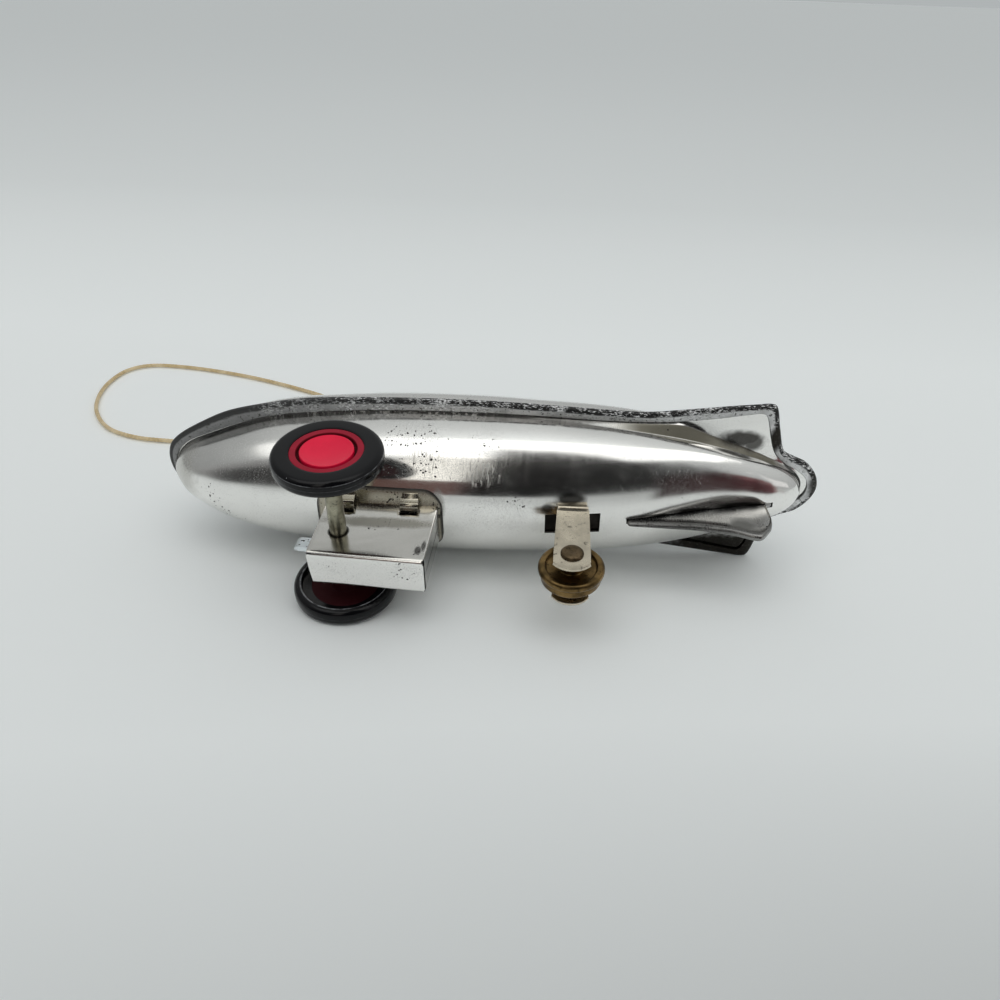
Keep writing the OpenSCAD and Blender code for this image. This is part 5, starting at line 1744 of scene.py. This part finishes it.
class AirshipForm(bpy.types.PropertyGroup):
    cord_twist: bpy.props.FloatProperty(
        name="Cord twist", description="Length of one turn of the thread's plies", default=0.0024,
        min=0.001, max=0.01, subtype="DISTANCE", unit="LENGTH")
    cord_depth: bpy.props.FloatProperty(
        name="Ply depth", description="Depth of the grooves between the plies as a share of the radius",
        default=0.16, min=0, max=0.4, subtype="FACTOR")


class AirshipLight(bpy.types.PropertyGroup):
    lamp_power: bpy.props.FloatProperty(
        name="Lamp", description="Power of the soft lamp overhead", default=1.76, min=0, max=50,
        subtype="POWER", unit="POWER")
    room_strength: bpy.props.FloatProperty(
        name="Room", description="Brightness of the pale room", default=1.09, min=0, max=4, subtype="FACTOR")
    room: colour_value("Room colour", "Colour of the pale room", (0.97, 1.0, 1.0))
    table: colour_value("Table", "Colour of the table near the ornament", (0.965, 0.99, 0.99))


PIECES = ("airship.stage", "airship.cord", "airship.hull", "airship.fins", "airship.gondola",
          "airship.rear_bracket", "airship.rear_wheel", "airship.axle", "airship.wheels",
          "airship.hanger_eye")


class AIRSHIP_PT_ornament(bpy.types.Panel):
    """Lists the ornament's pieces and what can be changed on them"""
    bl_idname = "AIRSHIP_PT_ornament"
    bl_label = "Airship ornament"
    bl_space_type = "VIEW_3D"
    bl_region_type = "UI"
    bl_category = "Airship"

    def draw(self, context):
        for group_name in ("airship_colours", "airship_form", "airship_light"):
            values = getattr(context.scene, group_name)
            box = self.layout.box()
            for key in values.__annotations__:
                box.prop(values, key)
        for piece in PIECES:
            self.layout.operator(piece)


GROUPS_OF_VALUES = {"airship_colours": AirshipColours, "airship_form": AirshipForm,
                    "airship_light": AirshipLight}
CLASSES = (AirshipColours, AirshipForm, AirshipLight, AIRSHIP_OT_stage, AIRSHIP_OT_cord,
           AIRSHIP_OT_hull, AIRSHIP_OT_fins, AIRSHIP_OT_gondola, AIRSHIP_OT_rear_bracket,
           AIRSHIP_OT_rear_wheel, AIRSHIP_OT_axle, AIRSHIP_OT_wheels, AIRSHIP_OT_hanger_eye,
           AIRSHIP_PT_ornament)


def register():
    for cls in CLASSES:
        bpy.utils.register_class(cls)
    for name, cls in GROUPS_OF_VALUES.items():
        setattr(bpy.types.Scene, name, bpy.props.PointerProperty(type=cls))


def unregister():
    for name in GROUPS_OF_VALUES:
        delattr(bpy.types.Scene, name)
    for cls in reversed(CLASSES):
        bpy.utils.unregister_class(cls)


def main():
    register()
    for piece in PIECES:
        area, name = piece.split(".")
        getattr(getattr(bpy.ops, area), name)()
    at_rest()


if __name__ == "__main__":
    main()
